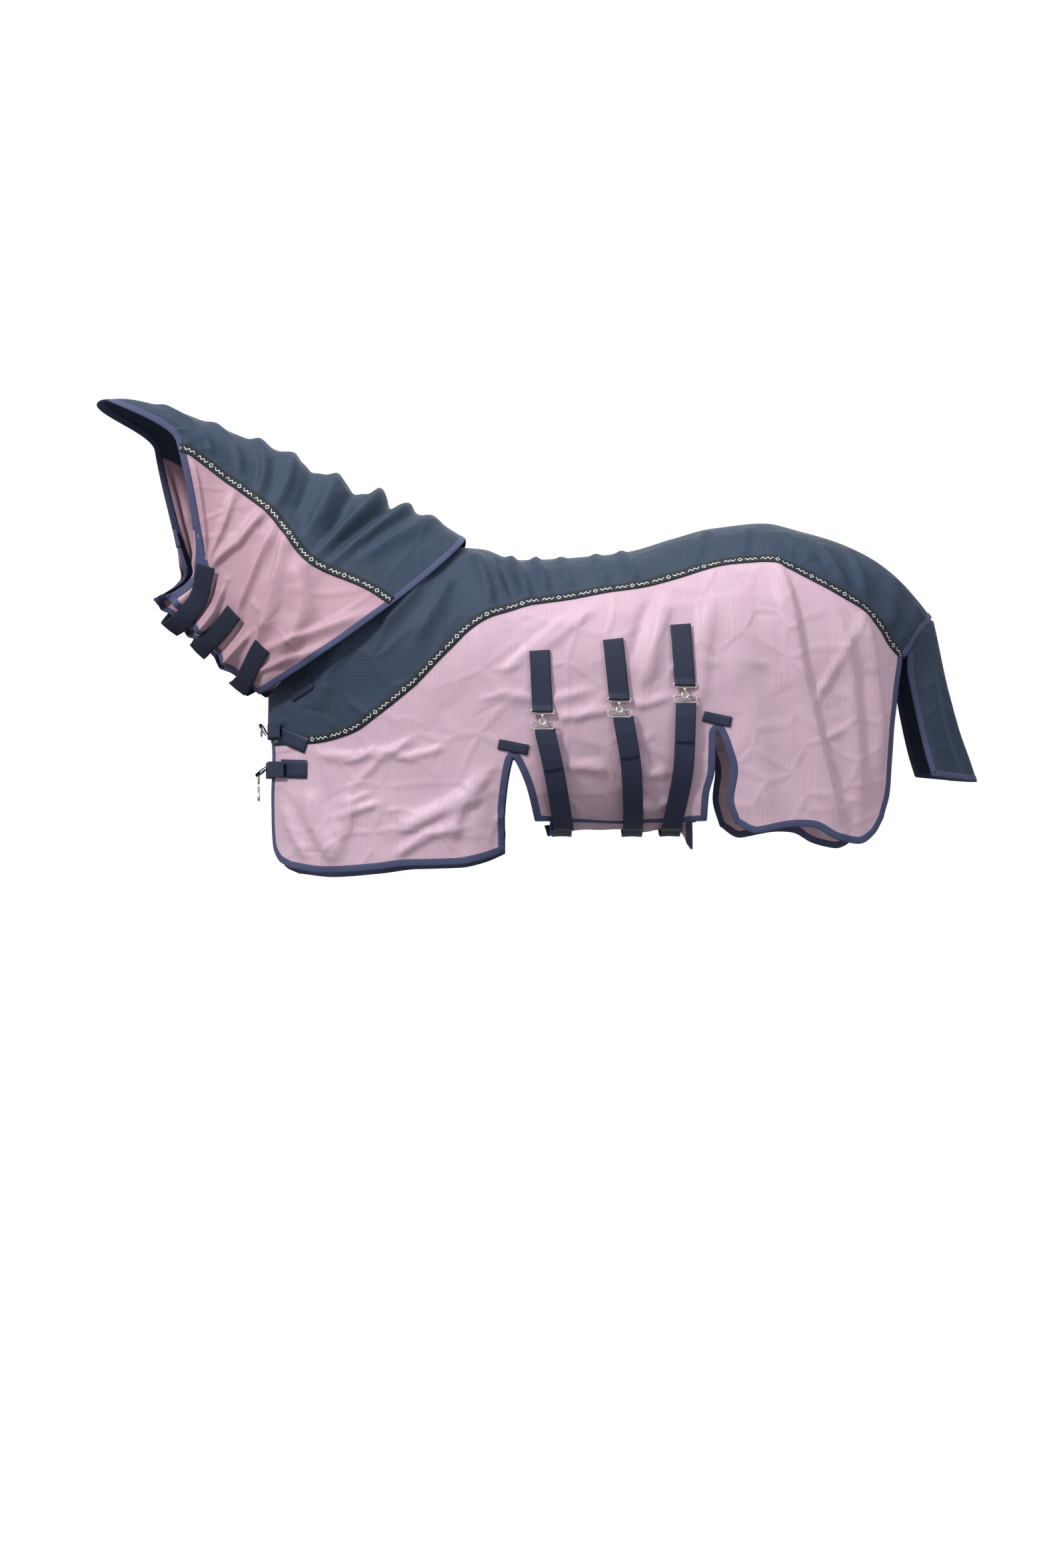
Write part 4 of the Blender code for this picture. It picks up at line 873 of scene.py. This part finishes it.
NECK_LONG, NECK_ROUND, NECK_EDGE, NECK_DEPTH = 0.80, 0.24, 0.005, 1.25


def eased(t):
    t = np.clip(t, 0, 1)
    return t * t * (3 - 2 * t)


def bare_neck(u, angle, side):
    """Points on the neck inside the cover."""
    u, angle = np.clip(u, 0, 1), np.clip(angle, 0, math.pi)
    crest, throat = crest_line(u), throat_line(u)
    middle, arm = (crest + throat) / 2, (crest - throat) / 2
    across = neck_half(u) * np.clip(np.sin(angle), 0, 1) ** 0.85
    along_arm = arm / np.linalg.norm(arm, axis=-1, keepdims=True)
    bulge = HEM_BULGE * (1 - u) ** 4 * np.sin(angle)
    cut = HOOD_CUT * u ** 3 * eased((angle - 0.15) / 0.75) * eased((math.pi - angle) / 0.9)
    x = middle[..., 0] + arm[..., 0] * np.cos(angle) + along_arm[..., 1] * bulge + cut
    z = middle[..., 1] + arm[..., 1] * np.cos(angle) - along_arm[..., 0] * bulge
    y = side * across
    ahead = np.maximum(BEND_START - x, 0)
    radius = BEND_LENGTH / BEND_ANGLE
    turn = np.minimum(ahead, 1.2 * BEND_LENGTH) / radius
    left = ahead - turn * radius
    bent_x = BEND_START - radius * np.sin(turn) - np.cos(turn) * left - np.sin(turn) * y
    bent_y = -radius * (1 - np.cos(turn)) - np.sin(turn) * left + np.cos(turn) * y
    return np.stack([np.where(ahead > 0, bent_x, x), np.where(ahead > 0, bent_y, y), z], axis=-1)


# Deep folds across the crest, and pulls in the mesh towards the ends of the throat straps.
NECK_FOLDS = (
    (((0.08, -0.5), (0.12, 0.5), (0.17, 1.2)), 0.018, 0.010, 0.3),
    (((0.15, -0.5), (0.18, 0.5), (0.22, 1.3)), 0.018, 0.016, -0.4),
    (((0.20, -0.5), (0.21, 0.5), (0.24, 1.3)), 0.013, -0.014, 0.0),
    (((0.25, -0.5), (0.25, 0.5), (0.27, 1.3)), 0.017, 0.022, 0.5),
    (((0.31, -0.5), (0.30, 0.6), (0.27, 1.2)), 0.014, -0.010, 0.0),
    (((0.38, -0.5), (0.36, 0.5), (0.33, 1.2)), 0.021, 0.017, 0.4),
    (((0.44, -0.5), (0.42, 0.5), (0.40, 1.1)), 0.013, -0.008, 0.0),
    (((0.50, -0.5), (0.48, 0.5), (0.46, 1.1)), 0.020, 0.013, -0.3),
    (((0.60, -0.5), (0.57, 0.5), (0.54, 1.1)), 0.020, 0.012, 0.4),
    (((0.72, -0.5), (0.69, 0.5), (0.64, 1.0)), 0.018, 0.007, 0.0),
    (((0.85, -0.5), (0.83, 0.5), (0.79, 1.0)), 0.018, 0.006, 0.2),
    (((0.41, 1.15), (0.33, 1.65), (0.20, 2.30)), 0.022, 0.020, 0.8),
    (((0.44, 1.15), (0.43, 1.70), (0.41, 2.20)), 0.016, 0.012, 0.3),
    (((0.48, 1.10), (0.56, 1.60), (0.72, 2.05)), 0.016, 0.012, -0.4),
    (((0.34, 1.30), (0.17, 1.75), (0.05, 2.35)), 0.030, 0.020, -0.3),
    (((0.02, 1.45), (0.10, 1.95), (0.18, 2.30)), 0.015, 0.010, 0.3),
    (((0.01, 1.90), (0.07, 2.25), (0.13, 2.60)), 0.013, 0.007, 0.0),
    (((0.93, 1.10), (0.87, 1.60), (0.76, 2.05)), 0.014, 0.008, 0.3),
    (((0.64, 1.10), (0.68, 1.60), (0.74, 2.00)), 0.016, 0.008, 0.0),
    (((0.56, 2.00), (0.56, 2.40), (0.58, 2.80)), 0.013, 0.010, 0.0),
    (((0.65, 2.05), (0.65, 2.40), (0.66, 2.80)), 0.012, -0.008, 0.0),
    (((0.28, 2.20), (0.29, 2.50), (0.30, 2.80)), 0.012, 0.009, 0.0),
    (((0.36, 2.15), (0.36, 2.45), (0.37, 2.80)), 0.011, -0.007, 0.0))
neck_creases = [([(u * NECK_LONG, angle) for u, angle in line], *rest) for line, *rest in NECK_FOLDS]
neck_creases += [([(x * NECK_LONG, z) for x, z in line], *rest)
                 for line, *rest in crumple(9, 46, (0.05, 0.2), (0.95, 2.7), 0.0026)]


def neck_cloth(u, angle, side, height=0.0):
    """Points on the neck cover, this height above its cloth's middle."""
    u, angle, side = np.broadcast_arrays(np.asarray(u, float), angle, side)
    lift = NECK_DEPTH * fold_lift(u * NECK_LONG, angle, neck_creases, NECK_ROUND)
    low_edge = eased((angle - 2.25) / 0.5)
    for middle in (0.30, 0.60, 0.87):
        lift = lift + 0.013 * low_edge * np.exp(-((u - middle) / 0.055) ** 2)
    return lifted(bare_neck, u, angle, side, -(height + NECK_LIFT + CLOTH_LIFT + lift))


def round_neck(surface):
    """The same surface with the left side's angles as negative ones, so that a line can cross the crest."""
    return lambda u, turn, side, *height: surface(u, np.abs(turn), np.where(turn < 0, -1.0, 1.0), *height)


def neck_piece(piece, material, slot, *stands_for):
    """A piece of the neck cover, from the withers towards the head, with no body and its place baked in."""
    finish_with(piece, material, None, slot, *stands_for)
    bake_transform(piece)


def neck_patch(low, high, side):
    """A patch of the cover between two angles, each a function of u."""
    def place(u, v):
        u = NECK_EDGE + (1 - 2 * NECK_EDGE) * u
        angle = low(u) + (high(u) - low(u)) * v
        weave = np.stack([u * NECK_LONG, angle * NECK_ROUND * side], axis=-1)
        return halves_met(neck_cloth, u, angle, side), weave
    return place


def dotted(material, weave):
    """The open holes of a knitted mesh, as a fine pattern of darker dots."""
    warp, weft = (lines_of(material, weave, axis, 0.0030, 0.45) for axis in (0, 1))
    hole = add(material, "ShaderNodeMath", {0: warp, 1: weft}, operation="MULTIPLY").outputs[0]
    faint = add(material, "ShaderNodeMath", {0: hole, 1: 0.42}, operation="MULTIPLY").outputs[0]
    return faint, "#96707f", hole


# The neck's mesh is plainer and rosier than the body's, with small open holes in rows.
rose = cloth_material("rose_fly_mesh", "#b996a5", "#cbaab7", "#9c7c8b", 0.35, 0.5, dotted, 0.6)
crest = sheet_of("neck_crest_cloth", [
    (140, 44, neck_patch(lambda u: 0 * u, tape_angle, side)) for side in (-1, 1)])
neck_piece(crest, navy, "navy_ripstop", "neck_crest_panel")
neck_mesh = {}
for side, hand in HEMS.items():
    patch = neck_patch(tape_angle, lambda u: 0 * u + THROAT_EDGE, side)
    neck_mesh[side] = sheet_of(hand + "_neck_cloth", [(130, 64, patch)])
    neck_piece(neck_mesh[side], rose, "neck_mesh", hand + "_neck_panel")
    us = np.linspace(0.01, 0.985, 200)
    tape = band(hand + "_neck_ribbon", neck_cloth, bare_neck, np.stack([us, tape_angle(us)], axis=-1), side,
                flat_strip(TAPE, TAPE_LOW, TAPE_RISE), (0.5, 0.0))
    neck_piece(tape, ribbon, "trim_tape", hand + "_neck_trim_tape")
us, turns = np.linspace(NECK_EDGE, 1 - NECK_EDGE, 120), np.linspace(-THROAT_EDGE, THROAT_EDGE, 240)
edge_loop = np.concatenate([np.stack([us, 0 * us - THROAT_EDGE], axis=-1),
                            np.stack([0 * turns + 1 - NECK_EDGE, turns], axis=-1),
                            np.stack([us[::-1], 0 * us + THROAT_EDGE], axis=-1),
                            np.stack([0 * turns + NECK_EDGE, turns[::-1]], axis=-1)])
braid = band("neck_edge_braid", round_neck(neck_cloth), round_neck(bare_neck), edge_loop, 1,
             folded_over(NARROW_BRAID), (0.5, 0.0))
neck_piece(braid, indigo, "edge_binding", "left_throat_binding", "right_throat_binding",
           "neck_hem_binding", "hood_binding")


# Three hook and loop straps, sewn to the right of the neck cover, cross under the throat and press on to
# the left side.
NECK_STRAPS = {"poll": (0.745, 2.05, 0.735), "throat": (0.42, 2.18, 0.48), "chest": (0.18, 2.22, 0.125)}
STRAP_HEIGHT = NECK_LIFT + 0.0125


def brushed(material, weave):
    """The short loops of a fastener's soft side, as fine noise."""
    loops = add(material, "ShaderNodeTexNoise", {"Vector": weave, "Scale": 900.0, "Detail": 2.0}).outputs[0]
    return 0.12, "#3b4460", loops


# The fastener tape is nearly black, and its brushed loops take the gloss off.
fastener = cloth_material("brushed_loop_tape", "#171c2b", "#262d42", "#10141f", 0.6, 0.85, brushed)
for word, (u_top, angle_top, u_low) in NECK_STRAPS.items():
    turns = np.concatenate([np.linspace(-angle_top, -2.80, 6), (-2.97, -math.pi, 2.97), (2.80, 2.68, 2.56)])
    us = np.concatenate([np.linspace(u_top, u_low, 6), np.full(6, u_low)])
    hands = np.where((turns > -3.1) & (turns < 0), -1.0, 1.0)
    spots = lifted(bare_neck, us, np.abs(turns), hands, -STRAP_HEIGHT)
    widths = bare_neck(us + 0.02, np.abs(turns), hands) - bare_neck(us - 0.02, np.abs(turns), hands)
    widths /= np.linalg.norm(widths, axis=1, keepdims=True)
    strap = webbing_strip(word + "_neck_tape", spots, widths, rise=slack)
    finish_with(strap, fastener, f"{word}_closure", "hook_and_loop", f"{word}_neck_strap")

# The tail flap, ripstop sewn on at the dock and bound round its free edges. It hangs over the tail.
FLAP_MIDDLE = ((1.162, -0.180), (1.181, -0.262), (1.199, -0.352), (1.221, -0.457), (1.247, -0.541),
               (1.262, -0.590))
FLAP_EDGE = ((1.078, -0.268), (1.076, -0.305), (1.088, -0.380), (1.102, -0.450), (1.118, -0.520),
             (1.135, -0.577))
UNDER_DOCK = np.array([0.375, -0.150])     # the sewn edge runs on under the back panel
flap_middle, flap_edge = line_of(FLAP_MIDDLE), line_of(FLAP_EDGE)


def flap_cloth(down, turn, side, height=0.0):
    """Points on the flap: down runs from seam to hem, turn from its left edge, -1, to its right edge, 1."""
    angle = turn * math.pi / 2
    middle, edge = flap_middle(np.clip(down, 0, 1)), flap_edge(np.clip(down, 0, 1))
    flat = middle + (edge - middle) * (1 - np.cos(angle))[..., None]
    flat = flat + np.minimum(down, 0)[..., None] * UNDER_DOCK
    ripple = 0.007 * np.sin(7.5 * turn + 2.2 * down) + 0.004 * np.sin(16 * turn - 3 * down)
    ripple = ripple * eased(down * 1.6)
    lift = height + CLOTH_LIFT + ripple
    reach = 0.132 + 0.012 * down + lift
    return np.stack([flat[..., 0] + lift * np.cos(angle), reach * np.sin(angle), flat[..., 1]], axis=-1)


def flap_patch(u, v):
    turn, u = v * 1.94 - 0.97, u * 1.09 - 0.09
    weave = np.stack([turn * 0.22, u * 0.42], axis=-1)
    return flap_cloth(u, turn, 1), weave


flap = sheet_of("tail_flap_cloth", [(60, 90, flap_patch)])
finish_with(flap, navy, None, "navy_ripstop", "tail_flap")
downs, turns = np.linspace(0.0, 0.99, 60), np.linspace(-0.97, 0.97, 120)
rim = np.concatenate([np.stack([downs, 0 * downs - 0.97], axis=-1),
                      np.stack([0 * turns + 0.99, turns], axis=-1),
                      np.stack([downs[::-1], 0 * downs + 0.97], axis=-1)])
flap_braid = band("tail_flap_braid", flap_cloth, flap_cloth, rim, 1, folded_over(NARROW_BRAID), (0.3, 0.0))
finish_with(flap_braid, indigo, None, "edge_binding", "tail_flap_binding")
for piece in (flap, flap_braid):
    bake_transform(piece)

# The belly flap, fly mesh sewn to the right panel's hem. It passes under the belly and inside the left
# panel, and its bound corners hang a little.
FLAP_SECTION = ((0.086, -0.7005), (0.045, -0.709), (0.0, -0.711), (-0.050, -0.702), (-0.095, -0.684),
                (-0.140, -0.656), (-0.175, -0.622), (-0.198, -0.585))
belly_line = line_of(FLAP_SECTION)


def bare_belly(x, share, side):
    spot = belly_line(np.clip(share, 0, 1))
    droop = (0.058 * np.exp(-((x - 0.548) / 0.022) ** 2) * np.exp(-((share - 0.42) / 0.13) ** 2)
             + 0.026 * np.exp(-((x - 0.172) / 0.030) ** 2) * np.exp(-((share - 0.46) / 0.2) ** 2))
    sag = 0.004 * np.sin(34 * x) + 0.003 * np.sin(60 * x + 5 * share)
    height = spot[..., 1] - droop - sag * np.sin(math.pi * share)
    return np.stack([x + 0 * share, spot[..., 0], height], axis=-1)


def belly_cloth(x, share, side, height=0.0):
    return lifted(bare_belly, x, share, side, height + CLOTH_LIFT)


def belly_patch(u, v):
    low, high = 0.175 + 0.02 * v, 0.555 - 0.02 * v
    x = low + (high - low) * u
    return belly_cloth(x, v, np.ones(len(u))), np.stack([x, v * 0.34], axis=-1)


belly = sheet_of("belly_flap_cloth", [(80, 60, belly_patch)])
finish_with(belly, pink, "rug", "striped_mesh", "belly_flap")
shares = np.linspace(0.0, 1.0, 80)
rim = np.concatenate([np.stack([0.175 + 0.02 * shares, shares], axis=-1),
                      np.stack([np.linspace(0.195, 0.535, 60), np.full(60, 0.995)], axis=-1),
                      np.stack([0.535 + 0.02 * shares, shares[::-1]], axis=-1)])
belly_braid = band("belly_flap_braid", belly_cloth, bare_belly, rim, 1, folded_over(NARROW_BRAID),
                   (0.36, 0.3))
finish_with(belly_braid, indigo, "rug", "edge_binding")

# The neck tabs, short webbing on the rug's front that the neck cover buckles to, and the two webbings
# across the chest, both 40 mm wide.
NARROW_WEB, TONGUE = 0.040, 0.018
for side, hand in HEMS.items():
    spots = flat_line(((-0.462, -0.372), (-0.435, -0.356), (-0.408, -0.340)))(np.linspace(0, 1, 14))
    tab = band(hand + "_neck_tab_web", body_cloth, bare_body, spots, side,
               flat_strip(NARROW_WEB, 0.0010, 0.0040), (0.3, 0.0))
    finish_with(tab, webbing, "rug", "webbing", hand + "_neck_tab")
for name, level, patch_x, front_x, stands_for in (
        ("lower_chest_webbing", -0.562, -0.470, -0.534, ("chest_strap",)),
        ("upper_chest_webbing", -0.463, -0.480, -0.530, ())):
    ends = {side: [on_body(x, level + 0.004, side, 0.0150) for x in np.linspace(patch_x, -0.508, 4)]
            for side in (-1, 1)}
    half = abs(ends[1][-1][1])
    front = [np.array([front_x + 0.012 * abs(t) ** 3, half * t, level]) for t in np.linspace(-0.72, 0.72, 9)]
    chest_web = webbing_strip(name, [*ends[-1], *front, *ends[1][::-1]], UP, width=NARROW_WEB)
    finish_with(chest_web, webbing, "rug", "webbing", *stands_for)

# A short tongue of narrow webbing is sewn to each chest webbing, and carries a ring in its fold.
for name, ring, root in (("lower_ring_tongue", "chest_ring", (-0.533, -0.062, -0.556)),
                         ("upper_ring_tongue", "upper_chest_ring", (-0.530, -0.062, -0.470))):
    low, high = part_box(ring)
    hold = np.array([(low[0] + high[0]) / 2, (low[1] + high[1]) / 2, high[2] - 0.0018])
    way = hold - np.array(root)
    way /= np.linalg.norm(way)
    out = np.cross(way, (0.0, 1.0, 0.0))
    out /= np.linalg.norm(out)
    out *= -1 if out[0] > 0 else 1
    turn = turned_round(hold, way, out, 0, 180)
    tongue = webbing_strip(name, [np.array(root) + 0.0035 * out, *turn, np.array(root) - 0.001 * out],
                           np.cross(way, out), width=TONGUE)
    finish_with(tongue, webbing, "rug", "webbing")

# The clips and rings, cast and wire steel. The bright nickel plate is a slightly warm grey metal that
# was tumbled and not polished, so its highlights are soft.
nickel, nickel_out = new_material("bright_nickel_plate")
give(nickel, nickel_out, add(nickel, "ShaderNodeBsdfPrincipled", {
    "Base Color": linear("#dedcd6"), "Metallic": 1.0, "Roughness": 0.3}))
LOOP_WIDE, HOOK_LOOP, EYE_LOOP, EYE_DROP = 0.056, 0.010, 0.016, 0.0305
CLIP_TURNS = {"front": -3.5, "middle": -1.2, "rear": 0.1}      # degrees about the vertical


def wire_loop(wide, tall, drop, corner=0.0042):
    """The line of a rounded loop that hangs from its top bar, in x and z."""
    middles = ((wide / 2 - corner, -drop - corner), (corner - wide / 2, -drop - corner),
               (corner - wide / 2, corner - drop - tall), (wide / 2 - corner, corner - drop - tall))
    return [(x + corner * math.cos(t), 0.0, z + corner * math.sin(t), 1.0)
            for (x, z), start in zip(middles, (0, 90, 180, 270))
            for t in np.radians(np.linspace(start, start + 90, 8))]


def wire(points, radius, closed):
    """A round wire as a mesh. Each point is x, y, z and its share of the radius."""
    bpy.ops.object.select_all(action="DESELECT")
    bpy.ops.curve.primitive_nurbs_path_add(location=(0, 0, 0))
    made = bpy.context.object
    made.data.splines.clear()
    spline = made.data.splines.new("POLY")
    spline.points.add(len(points) - 1)
    for spot, (x, y, z, share) in zip(spline.points, points):
        spot.co, spot.radius = (x, y, z, 1), share
    spline.use_cyclic_u = closed
    made.data.bevel_depth, made.data.bevel_resolution, made.data.use_fill_caps = radius, 4, True
    bpy.ops.object.convert(target="MESH")
    return bpy.context.object


def joined_at(name, parts, place, turn):
    """Joins the parts, turns them about the vertical and moves them, with the object left at the origin."""
    bpy.ops.object.select_all(action="DESELECT")
    for part in parts:
        part.select_set(True)
    bpy.context.view_layer.objects.active = parts[0]
    bpy.ops.object.join()
    piece = bpy.context.object
    piece.name = name
    piece.data.transform(mathutils.Matrix.Translation(place) @ mathutils.Matrix.Rotation(turn, 4, "Z"))
    bpy.ops.object.shade_smooth_by_angle(angle=math.radians(40))
    return piece


# Each surcingle's clip: a wire loop with a cast snap in the upper strap, and an eye loop in the lower one.
round_hook = [(0.0073 * math.sin(t), -0.0022, -0.0275 + 0.0075 * math.cos(t),
               1.0 + 0.5 * abs(math.sin(t / 2)) ** 3) for t in np.radians(np.linspace(0, 318, 30))]
stem = [(0, -0.0010, -0.0085, 0.9), (0, -0.0012, -0.0110, 1.7), (0, -0.0014, -0.0140, 1.7),
        (0, -0.0018, -0.0165, 1.1), (0, -0.0022, -0.0200, 1.0)]
STEM_WIRE, HOOK_WIRE = 0.0024, 0.0021
for word, bar in bars.items():
    turn = math.radians(CLIP_TURNS[word])
    clip = joined_at(f"{word}_snap", [wire(wire_loop(LOOP_WIDE, HOOK_LOOP, -WIRE), WIRE, True),
                                      wire(stem, STEM_WIRE, False), wire(round_hook, HOOK_WIRE, False)], bar, turn)
    finish_with(clip, nickel, f"{word}_hook", "nickel_plate", f"{word}_hook")
    eye_wire = wire(wire_loop(LOOP_WIDE, EYE_LOOP, EYE_DROP - WIRE), WIRE, True)
    eye = joined_at(f"{word}_eye", [eye_wire], bar, turn)
    finish_with(eye, nickel, "rug", "nickel_plate", f"{word}_eye_loop")
for name in ("chest_ring", "snap_hook", "upper_chest_ring"):
    nodes[name].data.materials.clear()
    nodes[name].data.materials.append(nickel)
